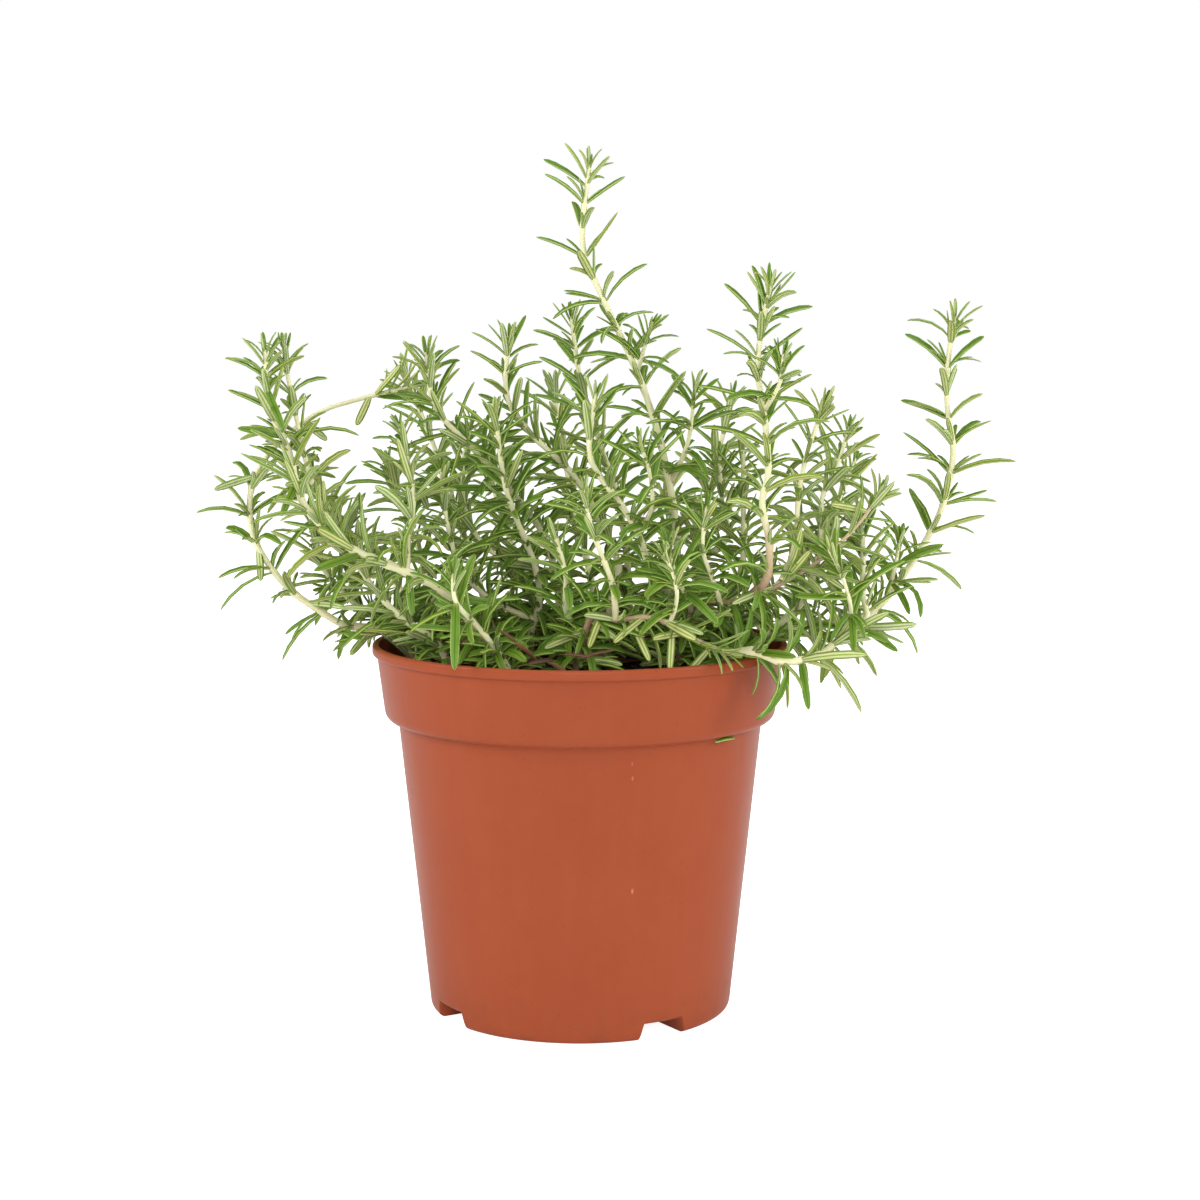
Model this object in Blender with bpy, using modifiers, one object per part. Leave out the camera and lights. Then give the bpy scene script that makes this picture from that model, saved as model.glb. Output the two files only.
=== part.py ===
"""Potted rosemary plant: a trailing rosemary in a round nursery pot.

Origin at the centre of the pot's foot, on the surface that the pot stands on.
+Z is up, -Y is the front.  Metres, except the stem table, which is in mm.
Every stem with its leaves is one closed body, as it grew.
"""
import math
import random

import bpy
import bmesh
import numpy as np
from mathutils import Vector

MM = 0.001
GAP = 0.0003               # clearance between pieces that touch
SOCKET_ROOM = 0.0006       # round a stem in the soil, so that a bend still keeps the gap

# pot ------------------------------------------------------------------------
POT_HEIGHT = 0.117
RIM_RADIUS = 0.0655        # outer edge of the rolled lip
FOOT_RADIUS = 0.0481       # bottom of the tapered wall
WALL = 0.0012
AROUND = 40                # facets round the pot
CHANNEL_BEARINGS = (-57.5, 32.5, 122.5, 212.5)   # degrees from -Y towards +X
CHANNEL_WIDTH = 0.0157
CHANNEL_HEIGHT = 0.005
CHANNEL_INNER = 0.024      # where a channel starts, from the axis
DRAIN_HOLE = 0.0065

# soil -----------------------------------------------------------------------
SOIL_EDGE = 0.107
SOIL_MOUND = 0.1095

# plant ----------------------------------------------------------------------
STEM_STEP = 0.011          # length of one straight run of a stem
NODE_SPACING = 0.0145      # between pairs of leaves
LEAF_LENGTH = 0.0175
LEAF_WIDTH = 0.0024
LEAF_THICKNESS = 0.0011
LEAF_ANGLE = 56            # degrees between a leaf and its stem
LEAF_ROOM = 0.0018         # half of a leaf's width, with its clearance
LEAF_APART = 0.0028        # between the middles of two leaves of one stem
# other ways for a leaf that would meet something: degrees round the stem, share of length
LEAF_TRIES = ((0, 1.0), (30, 1.0), (-30, 1.0), (55, 0.9), (-55, 0.9), (0, 0.7), (35, 0.6))

# name, foot radius, tip radius, bare length, points up the stem; all in mm
STEMS = (
    ("leader", 1.9, 0.8, 42, ((30, 10, 96), (29, 10, 116), (31, 10, 145), (27, 7, 173),
        (19, 3, 199), (8, 0, 223), (1, 0, 241), (3, 2, 266))),
    ("left_bough", 2.2, 0.8, 34, ((-17, -14, 97), (-24, -20, 112), (-34, -27, 128),
        (-42, -30, 137), (-52, -30, 142), (-71, -27, 150), (-84, -22, 162), (-89, -18, 178),
        (-95, -16, 192), (-96, -16, 209))),
    ("arching_branch", 1.7, 0.7, 34, ((-46, 5, 97), (-57, 3, 116), (-66, 1, 121), (-74, 0, 122),
        (-82, -3, 127), (-93, -5, 136), (-102, -6, 151), (-102, -6, 167), (-94, -2, 180),
        (-82, 4, 189), (-70, 8, 193), (-54, 10, 197))),
    ("low_left_a", 1.8, 0.8, 22, ((-36, -16, 97), (-43, -18, 117), (-56, -15, 127),
        (-65, -10, 136), (-72, -4, 146), (-77, 4, 157))),
    ("low_left_b", 1.7, 0.8, 24, ((-40, 16, 97), (-62, 14, 122), (-71, 10, 127), (-78, 8, 134),
        (-83, 8, 142), (-85, 10, 155))),
    ("mid_left", 1.7, 0.8, 24, ((-14, 10, 97), (-16, 8, 116), (-13, 4, 128), (-14, 0, 140),
        (-19, -4, 154), (-23, -8, 166), (-25, -10, 180), (-26, -10, 190))),
    ("centre_left", 1.8, 0.8, 30, ((-4, 24, 97), (-7, 22, 127), (-11, 18, 147), (-22, 10, 164),
        (-34, 2, 178), (-45, -2, 191), (-48, -2, 208))),
    ("centre_tan", 1.9, 0.8, 30, ((6, 2, 97), (10, -2, 130), (12, 2, 141), (6, 6, 155),
        (-2, 6, 169), (-16, 4, 183), (-23, 2, 195), (-22, 0, 213))),
    ("centre_back", 1.8, 0.8, 28, ((14, 30, 97), (16, 32, 126), (13, 30, 156), (6, 26, 179),
        (0, 22, 199), (-3, 18, 219))),
    ("centre_front", 1.8, 0.8, 26, ((26, -12, 97), (29, -16, 129), (22, -20, 141),
        (18, -22, 153), (12, -22, 163), (6, -22, 171), (3, -22, 179), (5, -20, 196))),
    ("woody_front", 2.3, 1.0, 20, ((-4, -33, 97), (3, -40, 128), (12, -43, 129), (21, -44, 130),
        (29, -45, 127), (36, -47, 123), (45, -50, 120))),
    ("woody_right", 2.2, 0.9, 26, ((27, -26, 97), (34, -30, 129), (48, -34, 134), (61, -34, 139),
        (73, -30, 146), (84, -24, 155), (93, -18, 166))),
    ("right_bough", 2.0, 0.8, 26, ((39, -22, 97), (44, -36, 115), (51, -44, 120), (61, -46, 117),
        (72, -38, 118), (81, -28, 123), (88, -22, 127), (87, -20, 135), (87, -20, 148),
        (86, -15, 160))),
    ("far_right", 1.8, 0.8, 30, ((49, 4, 97), (58, 4, 115), (67, 3, 121), (80, 0, 123),
        (92, -4, 127), (102, -4, 139), (113, -2, 158), (117, 0, 176), (115, 0, 191),
        (115, 0, 205), (117, 0, 219))),
    ("leader_spur", 1.0, 0.6, 5, ((18, 3, 202), (20, -2, 209), (22, -5, 216))),
    ("leader_spur_low", 1.1, 0.6, 5, ((29, 8, 167), (34, 2, 180), (36, -4, 198))),
    ("left_tip_a", 1.2, 0.7, 5, ((-72, -27, 150), (-77, -20, 158), (-83, -12, 169),
        (-87, -8, 184), (-90, -6, 198), (-92, -6, 210))),
    ("left_low_spur", 1.0, 0.6, 5, ((-52, -30, 142), (-52, -25, 151), (-51, -16, 163),
        (-53, -10, 174), (-56, -8, 186))),
    ("left_mid", 1.2, 0.7, 5, ((-15, 6, 123), (-28, 0, 130), (-37, -6, 140), (-40, -10, 150),
        (-42, -10, 161), (-43, -10, 172))),
    ("front_rosette", 1.3, 0.7, 5, ((11, -43, 129), (10, -46, 140), (6, -48, 151), (3, -48, 160),
        (2, -48, 169))),
    ("front_spur_a", 0.9, 0.6, 5, ((27, -45, 128), (29, -48, 136), (28, -50, 143),
        (25, -50, 150))),
    ("front_spur_b", 1.0, 0.6, 5, ((34, -30, 130), (32, -38, 136), (29, -44, 142),
        (26, -46, 153))),
    ("front_spur_c", 1.1, 0.6, 5, ((43, -33, 132), (40, -38, 141), (37, -40, 150),
        (38, -40, 163))),
    ("right_centre", 1.5, 0.8, 5, ((51, -34, 135), (56, -40, 141), (57, -38, 151),
        (55, -34, 163), (57, -30, 173), (56, -28, 188), (54, -26, 202), (55, -24, 215),
        (58, -24, 229))),
    ("right_centre_spur", 0.9, 0.6, 5, ((56, -28, 191), (60, -32, 199), (61, -34, 208))),
    ("right_mid", 1.2, 0.7, 5, ((61, -34, 140), (64, -30, 146), (66, -26, 153), (67, -20, 163),
        (70, -14, 177), (76, -10, 193))),
    ("right_upper", 1.1, 0.7, 5, ((73, -30, 146), (74, -22, 154), (75, -14, 164), (80, -8, 173),
        (84, -4, 185))),
    ("far_right_spur", 1.0, 0.6, 5, ((97, -4, 133), (98, -11, 142), (99, -15, 151))),
    ("right_low_spur", 1.0, 0.6, 5, ((80, -24, 121), (82, -34, 130), (79, -40, 141),
        (74, -42, 151))),
    ("behind_right", 1.2, 0.7, 5, ((31, 10, 134), (40, 20, 141), (48, 24, 148), (46, 26, 160),
        (45, 26, 174))),
    ("back_left", 1.1, 0.7, 5, ((-8, 21, 136), (-26, 30, 140), (-37, 36, 152), (-39, 38, 169),
        (-36, 38, 185))),
    ("back_a", 1.8, 0.8, 22, ((-24, 32, 97), (-34, 44, 130), (-46, 58, 165), (-60, 66, 200))),
    ("back_b", 1.8, 0.8, 22, ((4, 46, 97), (4, 58, 125), (-4, 72, 160), (-10, 82, 196))),
    ("back_c", 1.8, 0.8, 22, ((30, 38, 97), (38, 52, 128), (44, 66, 160), (52, 76, 192))),
    ("back_d", 1.7, 0.8, 22, ((42, 20, 97), (52, 28, 118), (64, 36, 130), (80, 44, 146),
        (92, 50, 172))),
    ("back_e", 1.7, 0.8, 22, ((-38, 26, 97), (-49, 34, 118), (-62, 44, 130), (-78, 54, 144),
        (-92, 58, 168))),
    ("back_f", 1.7, 0.8, 22, ((-10, 40, 97), (-16, 52, 124), (-28, 72, 152), (-34, 92, 176))),
    ("back_g", 1.7, 0.8, 22, ((20, 46, 97), (24, 57, 124), (30, 78, 148), (30, 98, 166))),
    ("upper_left", 1.7, 0.8, 24, ((-28, 22, 97), (-46, 24, 123), (-51, 28, 138), (-58, 30, 156),
        (-64, 30, 172))),
    ("mid_right", 1.7, 0.8, 24, ((38, 12, 97), (47, 14, 122), (52, 12, 141), (52, 12, 161),
        (52, 12, 177))),
    ("low_right", 1.6, 0.8, 24, ((47, -6, 97), (56, -8, 117), (69, -10, 130), (74, -6, 142),
        (79, -2, 154))),
    ("low_front_left", 1.4, 0.8, 16, ((-14, -32, 97), (-20, -38, 112), (-29, -44, 126),
        (-36, -50, 135), (-37, -52, 144))),
    ("low_front_centre", 1.4, 0.8, 16, ((6, -18, 97), (1, -22, 117), (-4, -28, 130),
        (-4, -34, 141), (-7, -36, 154))),
    ("centre_spur", 1.0, 0.6, 5, ((18, -22, 153), (22, -28, 162), (21, -32, 173),
        (18, -34, 182))),
)

# name, centre (mm), bearing round +Z (degrees), length (mm)
LOOSE_LEAVES = (
    ("dead_leaf_a", (-27, -1, 110.2), 62, 14),
    ("dead_leaf_b", (18, 17, 110.3), -20, 12),
    ("dead_leaf_c", (14, -36, 109.9), 12, 13),
    ("caught_leaf", (44.0, -39.6, 92.2), 48, 9),
)


# materials ------------------------------------------------------------------
def finish(name, colour, roughness):
    """A plain Principled material."""
    material = bpy.data.materials.new(name)
    material.use_nodes = True
    shader = material.node_tree.nodes["Principled BSDF"]
    shader.inputs["Base Color"].default_value = (*colour, 1.0)
    shader.inputs["Roughness"].default_value = roughness
    shader.inputs["Metallic"].default_value = 0.0
    material.diffuse_color = (*colour, 1.0)
    return material


# objects and Booleans -------------------------------------------------------
def add_object(name, mesh, *materials):
    """A new object of the part, with its materials."""
    obj = bpy.data.objects.new(name, mesh)
    for material in materials:
        mesh.materials.append(material)
    PARTS.objects.link(obj)
    return obj


def bake(obj):
    """Replace an object's mesh by its evaluated one and drop its modifiers."""
    bpy.context.view_layer.update()
    evaluated = obj.evaluated_get(bpy.context.evaluated_depsgraph_get())
    mesh = bpy.data.meshes.new_from_object(evaluated)
    obj.modifiers.clear()
    old, obj.data = obj.data, mesh
    bpy.data.meshes.remove(old)


def combine(obj, other, operation, crossing=False):
    """Join another object to this one, or cut it away, and remove the other."""
    boolean = obj.modifiers.new(operation.lower(), "BOOLEAN")
    boolean.operation = operation
    boolean.solver = "EXACT"
    boolean.use_self = crossing
    boolean.material_mode = "TRANSFER"
    boolean.object = other
    bake(obj)
    bpy.data.objects.remove(other)


def tidy(obj, distance=0.00002, flat=1.0):
    """Merge slivers and nearly flat faces, and point the faces outwards."""
    bm = bmesh.new()
    bm.from_mesh(obj.data)
    bmesh.ops.remove_doubles(bm, verts=bm.verts, dist=distance)
    bmesh.ops.dissolve_degenerate(bm, edges=bm.edges, dist=distance / 2)
    bmesh.ops.dissolve_limit(bm, angle_limit=math.radians(flat), verts=bm.verts, edges=bm.edges,
                             use_dissolve_boundaries=False, delimit={"MATERIAL"})
    bmesh.ops.triangulate(bm, faces=bm.faces)
    bmesh.ops.recalc_face_normals(bm, faces=bm.faces)
    bm.to_mesh(obj.data)
    bm.free()


def turned(name, profile, material):
    """A solid of revolution from (radius, height) points, outer side first."""
    mesh = bpy.data.meshes.new(name)
    points = [(radius, 0.0, height) for radius, height in profile]
    mesh.from_pydata(points, [(i, i + 1) for i in range(len(points) - 1)], [])
    obj = add_object(name, mesh, material)
    screw = obj.modifiers.new("turn", "SCREW")
    screw.steps = screw.render_steps = AROUND
    screw.use_merge_vertices = True
    screw.merge_threshold = 0.00005
    bake(obj)
    tidy(obj)
    return obj


def rod(name, points, radii, material):
    """A tube along points, as a bevelled curve made into a closed mesh."""
    curve = bpy.data.curves.new(name, "CURVE")
    curve.dimensions = "3D"
    curve.bevel_depth = 1.0
    curve.bevel_resolution = 1
    curve.use_fill_caps = True
    spline = curve.splines.new("POLY")
    spline.points.add(len(points) - 1)
    for knot, place, radius in zip(spline.points, points, radii):
        knot.co = (*place, 1.0)
        knot.radius = radius
    guide = bpy.data.objects.new(name + "_line", curve)
    PARTS.objects.link(guide)
    bpy.context.view_layer.update()
    evaluated = guide.evaluated_get(bpy.context.evaluated_depsgraph_get())
    mesh = bpy.data.meshes.new_from_object(evaluated)
    obj = add_object(name, mesh, material)
    obj.matrix_world = guide.matrix_world
    bpy.data.objects.remove(guide)
    tidy(obj, 0.00001)
    return obj


# pot ------------------------------------------------------------------------
# outer side of the wall from the lip down to the foot: radius, height
POT_OUTER = ((0.0649, 0.1170), (0.0655, 0.1162), (0.0655, 0.1145), (0.0649, 0.1139),
             (0.0641, 0.1138), (0.0621, 0.0986), (0.0613, 0.0962), (0.0600, 0.0944),
             (0.0586, 0.0934), (0.0576, 0.0930), (0.0575, 0.0922), (0.0482, 0.0045),
             (0.0479, 0.0029), (0.0472, 0.0014), (0.0462, 0.0005), (0.0448, 0.0000))
# inner side from the base up to the lip
POT_INNER = ((0.0447, 0.0012), (0.0459, 0.0018), (0.0467, 0.0032), (0.0470, 0.0048),
             (0.0562, 0.0925), (0.0567, 0.0938), (0.0580, 0.0945), (0.0590, 0.0954),
             (0.0601, 0.0968), (0.0609, 0.0990), (0.0629, 0.1140), (0.0634, 0.1164),
             (0.0641, 0.1170))


def tool(name, bm, bearing):
    """A cutter made from a bmesh along +X, turned to a bearing round the pot."""
    mesh = bpy.data.meshes.new(name)
    bm.to_mesh(mesh)
    bm.free()
    obj = bpy.data.objects.new(name, mesh)
    obj.rotation_euler.z = math.radians(bearing - 90)
    TOOLS.objects.link(obj)
    return obj


def channels(name, inner, outer, width, bottom, top):
    """Tapered bars along the four drainage channels."""
    bars = []
    for bearing in CHANNEL_BEARINGS:
        bm = bmesh.new()
        bmesh.ops.create_cube(bm, size=1.0)
        for vert in bm.verts:
            taper = 0.94 if vert.co.z > 0 else 1.06
            vert.co.y *= width * taper
            vert.co.x = inner if vert.co.x < 0 else outer
            vert.co.z = bottom if vert.co.z < 0 else top
        bars.append(tool(name, bm, bearing))
    return bars


def drain_holes():
    """Round cutters through the roofs of the channels."""
    holes = []
    for bearing in CHANNEL_BEARINGS:
        bm = bmesh.new()
        bmesh.ops.create_cone(bm, cap_ends=True, segments=16, radius1=DRAIN_HOLE / 2,
                              radius2=DRAIN_HOLE / 2, depth=0.006)
        bmesh.ops.translate(bm, verts=bm.verts, vec=(0.035, 0.0, CHANNEL_HEIGHT))
        holes.append(tool("drain", bm, bearing))
    return holes


def build_pot(material):
    """The turned shell, with four drainage channels under its base."""
    pot = turned("pot", ((0.0, WALL), *POT_INNER, *POT_OUTER, (0.0, 0.0)), material)
    for cover in channels("cover", CHANNEL_INNER - WALL, FOOT_RADIUS - WALL / 2,
                          CHANNEL_WIDTH + 2 * WALL, WALL / 2, CHANNEL_HEIGHT + WALL):
        combine(pot, cover, "UNION")
    for room in channels("room", CHANNEL_INNER, FOOT_RADIUS + 0.01,
                         CHANNEL_WIDTH, -0.002, CHANNEL_HEIGHT):
        combine(pot, room, "DIFFERENCE")
    for hole in drain_holes():
        combine(pot, hole, "DIFFERENCE")
    tidy(pot)
    return pot


# soil -----------------------------------------------------------------------
def build_soil(material):
    """Soil that fills the pot up to the band, lying over the channels."""
    side = [(0.0616, SOIL_EDGE), (0.0606, 0.0991), (0.0597, 0.0973), (0.0575, 0.0949),
            (0.0563, 0.0940), (0.0558, 0.0922), (0.0466, 0.0048), (0.0460, 0.0026),
            (0.0443, WALL + GAP)]
    top = [(0.0, SOIL_MOUND), (0.030, 0.1090), (0.055, 0.1072)]
    soil = turned("potting_soil", (*top, *side, (0.0, WALL + GAP)), material)
    for room in channels("room", CHANNEL_INNER - WALL - GAP, FOOT_RADIUS + 0.002,
                         CHANNEL_WIDTH + 2 * (WALL + GAP), 0.0, CHANNEL_HEIGHT + WALL + GAP):
        combine(soil, room, "DIFFERENCE")
    return soil


# stems ----------------------------------------------------------------------
def smooth_line(points):
    """A smooth curve through the points (mm), sampled finely, in metres."""
    knots = np.array(points, dtype=float) * MM
    knots = np.vstack([2 * knots[0] - knots[1], knots, 2 * knots[-1] - knots[-2]])
    t = np.linspace(0.0, 1.0, 24, endpoint=False)[:, None]
    runs = []
    for a, b, c, d in zip(knots, knots[1:], knots[2:], knots[3:]):
        runs.append(0.5 * (2 * b + (c - a) * t + (2 * a - 5 * b + 4 * c - d) * t ** 2
                           + (3 * b - a - 3 * c + d) * t ** 3))
    return np.vstack([*runs, knots[-2]])


def lengths_along(line):
    """Distance from the foot to each point of a line."""
    return np.concatenate([[0.0], np.cumsum(np.linalg.norm(np.diff(line, axis=0), axis=1))])


def at(line, along, distance):
    """The place and the direction at a distance up a line."""
    place = np.array([np.interp(distance, along, line[:, axis]) for axis in range(3)])
    ahead = np.array([np.interp(distance + 0.001, along, line[:, axis]) for axis in range(3)])
    behind = np.array([np.interp(distance - 0.001, along, line[:, axis]) for axis in range(3)])
    direction = ahead - behind
    return place, direction / np.linalg.norm(direction)


def resampled(line, stops):
    """Points at the given distances up a line."""
    along = lengths_along(line)
    return np.column_stack([np.interp(stops, along, line[:, axis]) for axis in range(3)])


class Stem:
    """One stem of the table: straight runs along its curve, with their radii."""

    def __init__(self, name, foot_radius, tip_radius, bare, points, others):
        self.name = name
        self.bare = bare * MM
        line = smooth_line(points)
        radii = np.linspace(foot_radius, tip_radius, len(line)) * MM
        start = self.first_clear_point(line, radii, others)
        line, radii = line[start:], radii[start:]
        fine = lengths_along(line)
        self.length = fine[-1]
        count = max(3, round(self.length / STEM_STEP))
        self.along = np.linspace(0.0, self.length, count + 1)
        self.line = resampled(line, self.along)
        self.radii = np.interp(self.along, fine, radii)
        self.leaves = []

    @staticmethod
    def first_clear_point(line, radii, others):
        """Where a side stem leaves its parent: the first point clear of every other stem."""
        start = 0
        for other in others:
            places, reach = other.samples()
            near = np.linalg.norm(line[:, None] - places[None], axis=2)
            touching = (near - reach[None]).min(axis=1) < radii + GAP + 0.0001
            touching[len(line) // 2:] = False
            if touching.any():
                start = max(start, int(np.flatnonzero(touching)[-1]) + 1)
        return start

    def samples(self, spacing=0.001):
        """Close points along the stem, with the radius at each."""
        stops = np.arange(0.0, self.length + spacing / 2, spacing)
        places = np.column_stack([np.interp(stops, self.along, self.line[:, axis])
                                  for axis in range(3)])
        return places, np.interp(stops, self.along, self.radii)


def leaf_path(root, outward, along_stem, length, angle):
    """Points down the middle of a leaf that leans out from its stem."""
    lean = math.radians(angle)
    heading = outward * math.sin(lean) + along_stem * math.cos(lean)
    heading[2] -= 0.12
    return root + np.linspace(0.0, length, 9)[:, None] * heading


def clear(path, room, obstacles, reach):
    """True where a leaf keeps its distance from every obstacle and the pot."""
    rho = np.hypot(path[:, 0], path[:, 1])
    z = path[:, 2]
    over_soil = (z < SOIL_MOUND + room) & (rho < RIM_RADIUS)
    at_rim = (abs(rho - 0.0635) < 0.003 + room) & (z < POT_HEIGHT + room)
    beside = (rho < RIM_RADIUS + room) & (z < POT_HEIGHT + room / 2) & (rho > 0.0605)
    if (over_soil | at_rim | beside).any():
        return False
    if not len(obstacles):
        return True
    near = np.linalg.norm(path[:, None] - obstacles[None], axis=2)
    return bool((near > room + reach[None]).all())


def side_of(direction):
    """Two directions square to a stem and to each other."""
    level = np.cross(direction, (0.0, 0.0, 1.0))
    if np.linalg.norm(level) < 0.2:
        level = np.cross(direction, (0.0, 1.0, 0.0))
    level /= np.linalg.norm(level)
    return level, np.cross(level, direction)


def place_leaf(stem, root, direction, turn, length, angle, obstacles, reach):
    """Put a leaf on its stem where it meets nothing, or leave it out."""
    level, upright = side_of(direction)
    for shift, scale in LEAF_TRIES:
        bearing = math.radians(turn + shift)
        outward = level * math.cos(bearing) + upright * math.sin(bearing)
        path = leaf_path(root + outward * 0.0002, outward, direction, length * scale, angle)
        apart = all(np.linalg.norm(path[3:, None] - other[None, 2:], axis=2).min() > LEAF_APART
                    for other, _ in stem.leaves)
        if apart and clear(path[1:], LEAF_ROOM, obstacles, reach):
            stem.leaves.append((path, outward))
            return


def grow_leaves(stem, obstacles, reach, dice):
    """Pairs of leaves up a stem, turned a quarter from node to node, and one at its tip."""
    for index, stop in enumerate(np.arange(stem.bare, stem.length - 0.002, NODE_SPACING)):
        root, direction = at(stem.line, stem.along, stop)
        fraction = stop / stem.length
        length = LEAF_LENGTH * (1.0 - 0.45 * fraction ** 3) * dice.uniform(0.85, 1.1)
        angle = LEAF_ANGLE * (1.0 - 0.35 * fraction ** 2)
        for side in (0, 180):
            place_leaf(stem, root, direction, 90 * index + side + 25, length, angle,
                       obstacles, reach)
    tip, direction = at(stem.line, stem.along, stem.length)
    path = leaf_path(tip - direction * 0.001, direction, direction, LEAF_LENGTH * 0.4, 0)
    stem.leaves.append((path, side_of(direction)[1]))


def leaf_blade(bm, path, outward):
    """A three-sided spindle along the leaf's path: flat above, keeled below."""
    made = bmesh.ops.create_uvsphere(bm, u_segments=3, v_segments=3, radius=1.0)
    heading = path[-1] - path[0]
    heading /= np.linalg.norm(heading)
    across = np.cross(heading, outward)
    if np.linalg.norm(across) < 0.1:
        across = np.cross(heading, (1.0, 0.0, 0.0))
    across /= np.linalg.norm(across)
    normal = np.cross(across, heading)
    for vert in made["verts"]:
        keel, side, pole = vert.co
        down = np.interp(pole, (-1.0, -0.5, 0.5, 1.0), (0.0, 0.12, 0.86, 1.0))
        vert.co = (path[0] + down * (path[-1] - path[0]) + across * side * LEAF_WIDTH / 1.5
                   - normal * keel * LEAF_THICKNESS / 1.3)


def around(stem, stems):
    """Points on all the other stems and their leaves, with the radius at each."""
    others = [other for other in stems if other is not stem]
    samples = [other.samples() for other in others]
    blades = [path for other in others for path, _ in other.leaves]
    points = np.vstack([places for places, _ in samples] + blades)
    reach = np.concatenate([radii + 0.0002 for _, radii in samples]
                           + [np.full(len(path), LEAF_WIDTH / 2 + 0.0002) for path in blades])
    return points, reach


def build_stem(stem, bark, leaf):
    """The stem's rod with all its leaves joined to it."""
    obj = rod(stem.name, stem.line, stem.radii, bark)
    mesh = bpy.data.meshes.new(stem.name + "_leaves")
    bm = bmesh.new()
    for blade in stem.leaves:
        leaf_blade(bm, *blade)
    bmesh.ops.recalc_face_normals(bm, faces=bm.faces)
    bm.to_mesh(mesh)
    bm.free()
    blades = bpy.data.objects.new(stem.name + "_leaves", mesh)
    mesh.materials.append(leaf)
    TOOLS.objects.link(blades)
    combine(obj, blades, "UNION", crossing=True)
    tidy(obj, flat=3.0)
    return obj


def build_loose_leaf(name, centre, bearing, length, material):
    """A fallen leaf lying level."""
    turn = math.radians(bearing)
    heading = np.array([math.cos(turn), math.sin(turn), 0.0])
    middle = np.array(centre) * MM
    half = length * MM / 2
    bm = bmesh.new()
    leaf_blade(bm, np.array([middle - half * heading, middle + half * heading]),
               np.array([0.0, 0.0, 1.0]))
    bmesh.ops.recalc_face_normals(bm, faces=bm.faces)
    mesh = bpy.data.meshes.new(name)
    bm.to_mesh(mesh)
    bm.free()
    return add_object(name, mesh, material)


def build_socket(stem, material):
    """The room that a rooted stem takes up in the soil, clear all round and below its foot."""
    line = stem.line.copy()
    ahead = line[1] - line[0]
    line[0] -= ahead / np.linalg.norm(ahead) * SOCKET_ROOM
    return rod("socket", line, stem.radii + SOCKET_ROOM, material)


def main():
    """Build every piece under one empty at the foot of the pot."""
    plastic = finish("pot_plastic", (0.44, 0.105, 0.045), 0.38)
    earth = finish("potting_soil", (0.035, 0.024, 0.017), 0.95)
    bark = finish("stem_bark", (0.50, 0.42, 0.27), 0.75)
    leaf = finish("leaf_green", (0.10, 0.20, 0.055), 0.55)
    dead = finish("leaf_dead", (0.11, 0.06, 0.045), 0.8)

    pot = build_pot(plastic)
    soil = build_soil(earth)

    stems = []
    for row in STEMS:
        stems.append(Stem(*row, stems))
    dice = random.Random(7)
    for stem in stems:
        grow_leaves(stem, *around(stem, stems), dice)
        if stem.line[0, 2] < SOIL_EDGE:
            combine(soil, build_socket(stem, earth), "DIFFERENCE")
    tidy(soil)
    made = [build_stem(stem, bark, leaf) for stem in stems]

    for name, centre, bearing, length in LOOSE_LEAVES:
        material = leaf if name == "caught_leaf" else dead
        made.append(build_loose_leaf(name, centre, bearing, length, material))

    foot = bpy.data.objects.new("potted_rosemary_origin", None)
    PARTS.objects.link(foot)
    for obj in (pot, soil, *made):
        obj.parent = foot
        obj.data.shade_smooth()
        obj.data.set_sharp_from_angle(angle=math.radians(38))


for existing in list(bpy.data.objects):
    bpy.data.objects.remove(existing)
PARTS = bpy.data.collections.new("potted_rosemary")
TOOLS = bpy.data.collections.new("cutters")
bpy.context.scene.collection.children.link(PARTS)
bpy.context.scene.collection.children.link(TOOLS)
main()
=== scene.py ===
import logging
import math
from dataclasses import dataclass, field
from enum import Enum

import bpy
import numpy as np
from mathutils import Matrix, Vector


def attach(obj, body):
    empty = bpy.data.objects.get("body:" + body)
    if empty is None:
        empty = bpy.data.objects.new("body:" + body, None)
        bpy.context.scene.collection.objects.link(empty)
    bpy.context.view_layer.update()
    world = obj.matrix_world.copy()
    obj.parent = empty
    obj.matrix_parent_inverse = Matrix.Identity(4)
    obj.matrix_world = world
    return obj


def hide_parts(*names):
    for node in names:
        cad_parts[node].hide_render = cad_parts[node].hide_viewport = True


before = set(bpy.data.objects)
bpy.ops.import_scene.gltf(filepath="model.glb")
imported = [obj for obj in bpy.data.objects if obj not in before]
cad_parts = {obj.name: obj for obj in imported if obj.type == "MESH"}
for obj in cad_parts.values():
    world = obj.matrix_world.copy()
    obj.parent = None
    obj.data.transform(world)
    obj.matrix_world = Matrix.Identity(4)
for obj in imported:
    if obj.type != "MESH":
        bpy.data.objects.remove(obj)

"""Potted rosemary: a trailing plant in a round nursery pot, ready to look at.

Origin at the centre of the pot's foot, +Z up, -Y the front, metres throughout,
except the tables whose comments say mm.
"""

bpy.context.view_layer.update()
LOG = logging.getLogger("rosemary")
MM = 0.001
BODY = "root"
SOIL_EDGE = 0.0600          # radius within which leaves and lumps lie on the soil
SOIL_CLEAR = 0.1106         # a spine over the soil keeps above this height
LIP_INSIDE = 0.0590         # radii and top of the room that the pot's lip needs
LIP_OUTSIDE = 0.0672
LIP_CLEAR = 0.1186
BAND_FOOT = 0.1000          # below this a spine keeps outside the band
Array = np.ndarray
Colour = tuple[float, float, float]


class Slot(Enum):
    """The finishes that the record names."""

    POT = "pot_plastic"
    SOIL = "potting_soil"
    SHOOT = "shoot_green"
    LEAF = "leaf_green"
    DEAD = "leaf_dead"


class Habit(Enum):
    """How a shoot grows its leaves."""

    BUSHY = "bushy"          # close pairs with full tufts in their axils
    OPEN = "open"            # long bare stretches between pairs
    WOODY = "woody"          # old barked bough, short tufts
    SPUR = "spur"            # short side shoot


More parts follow.
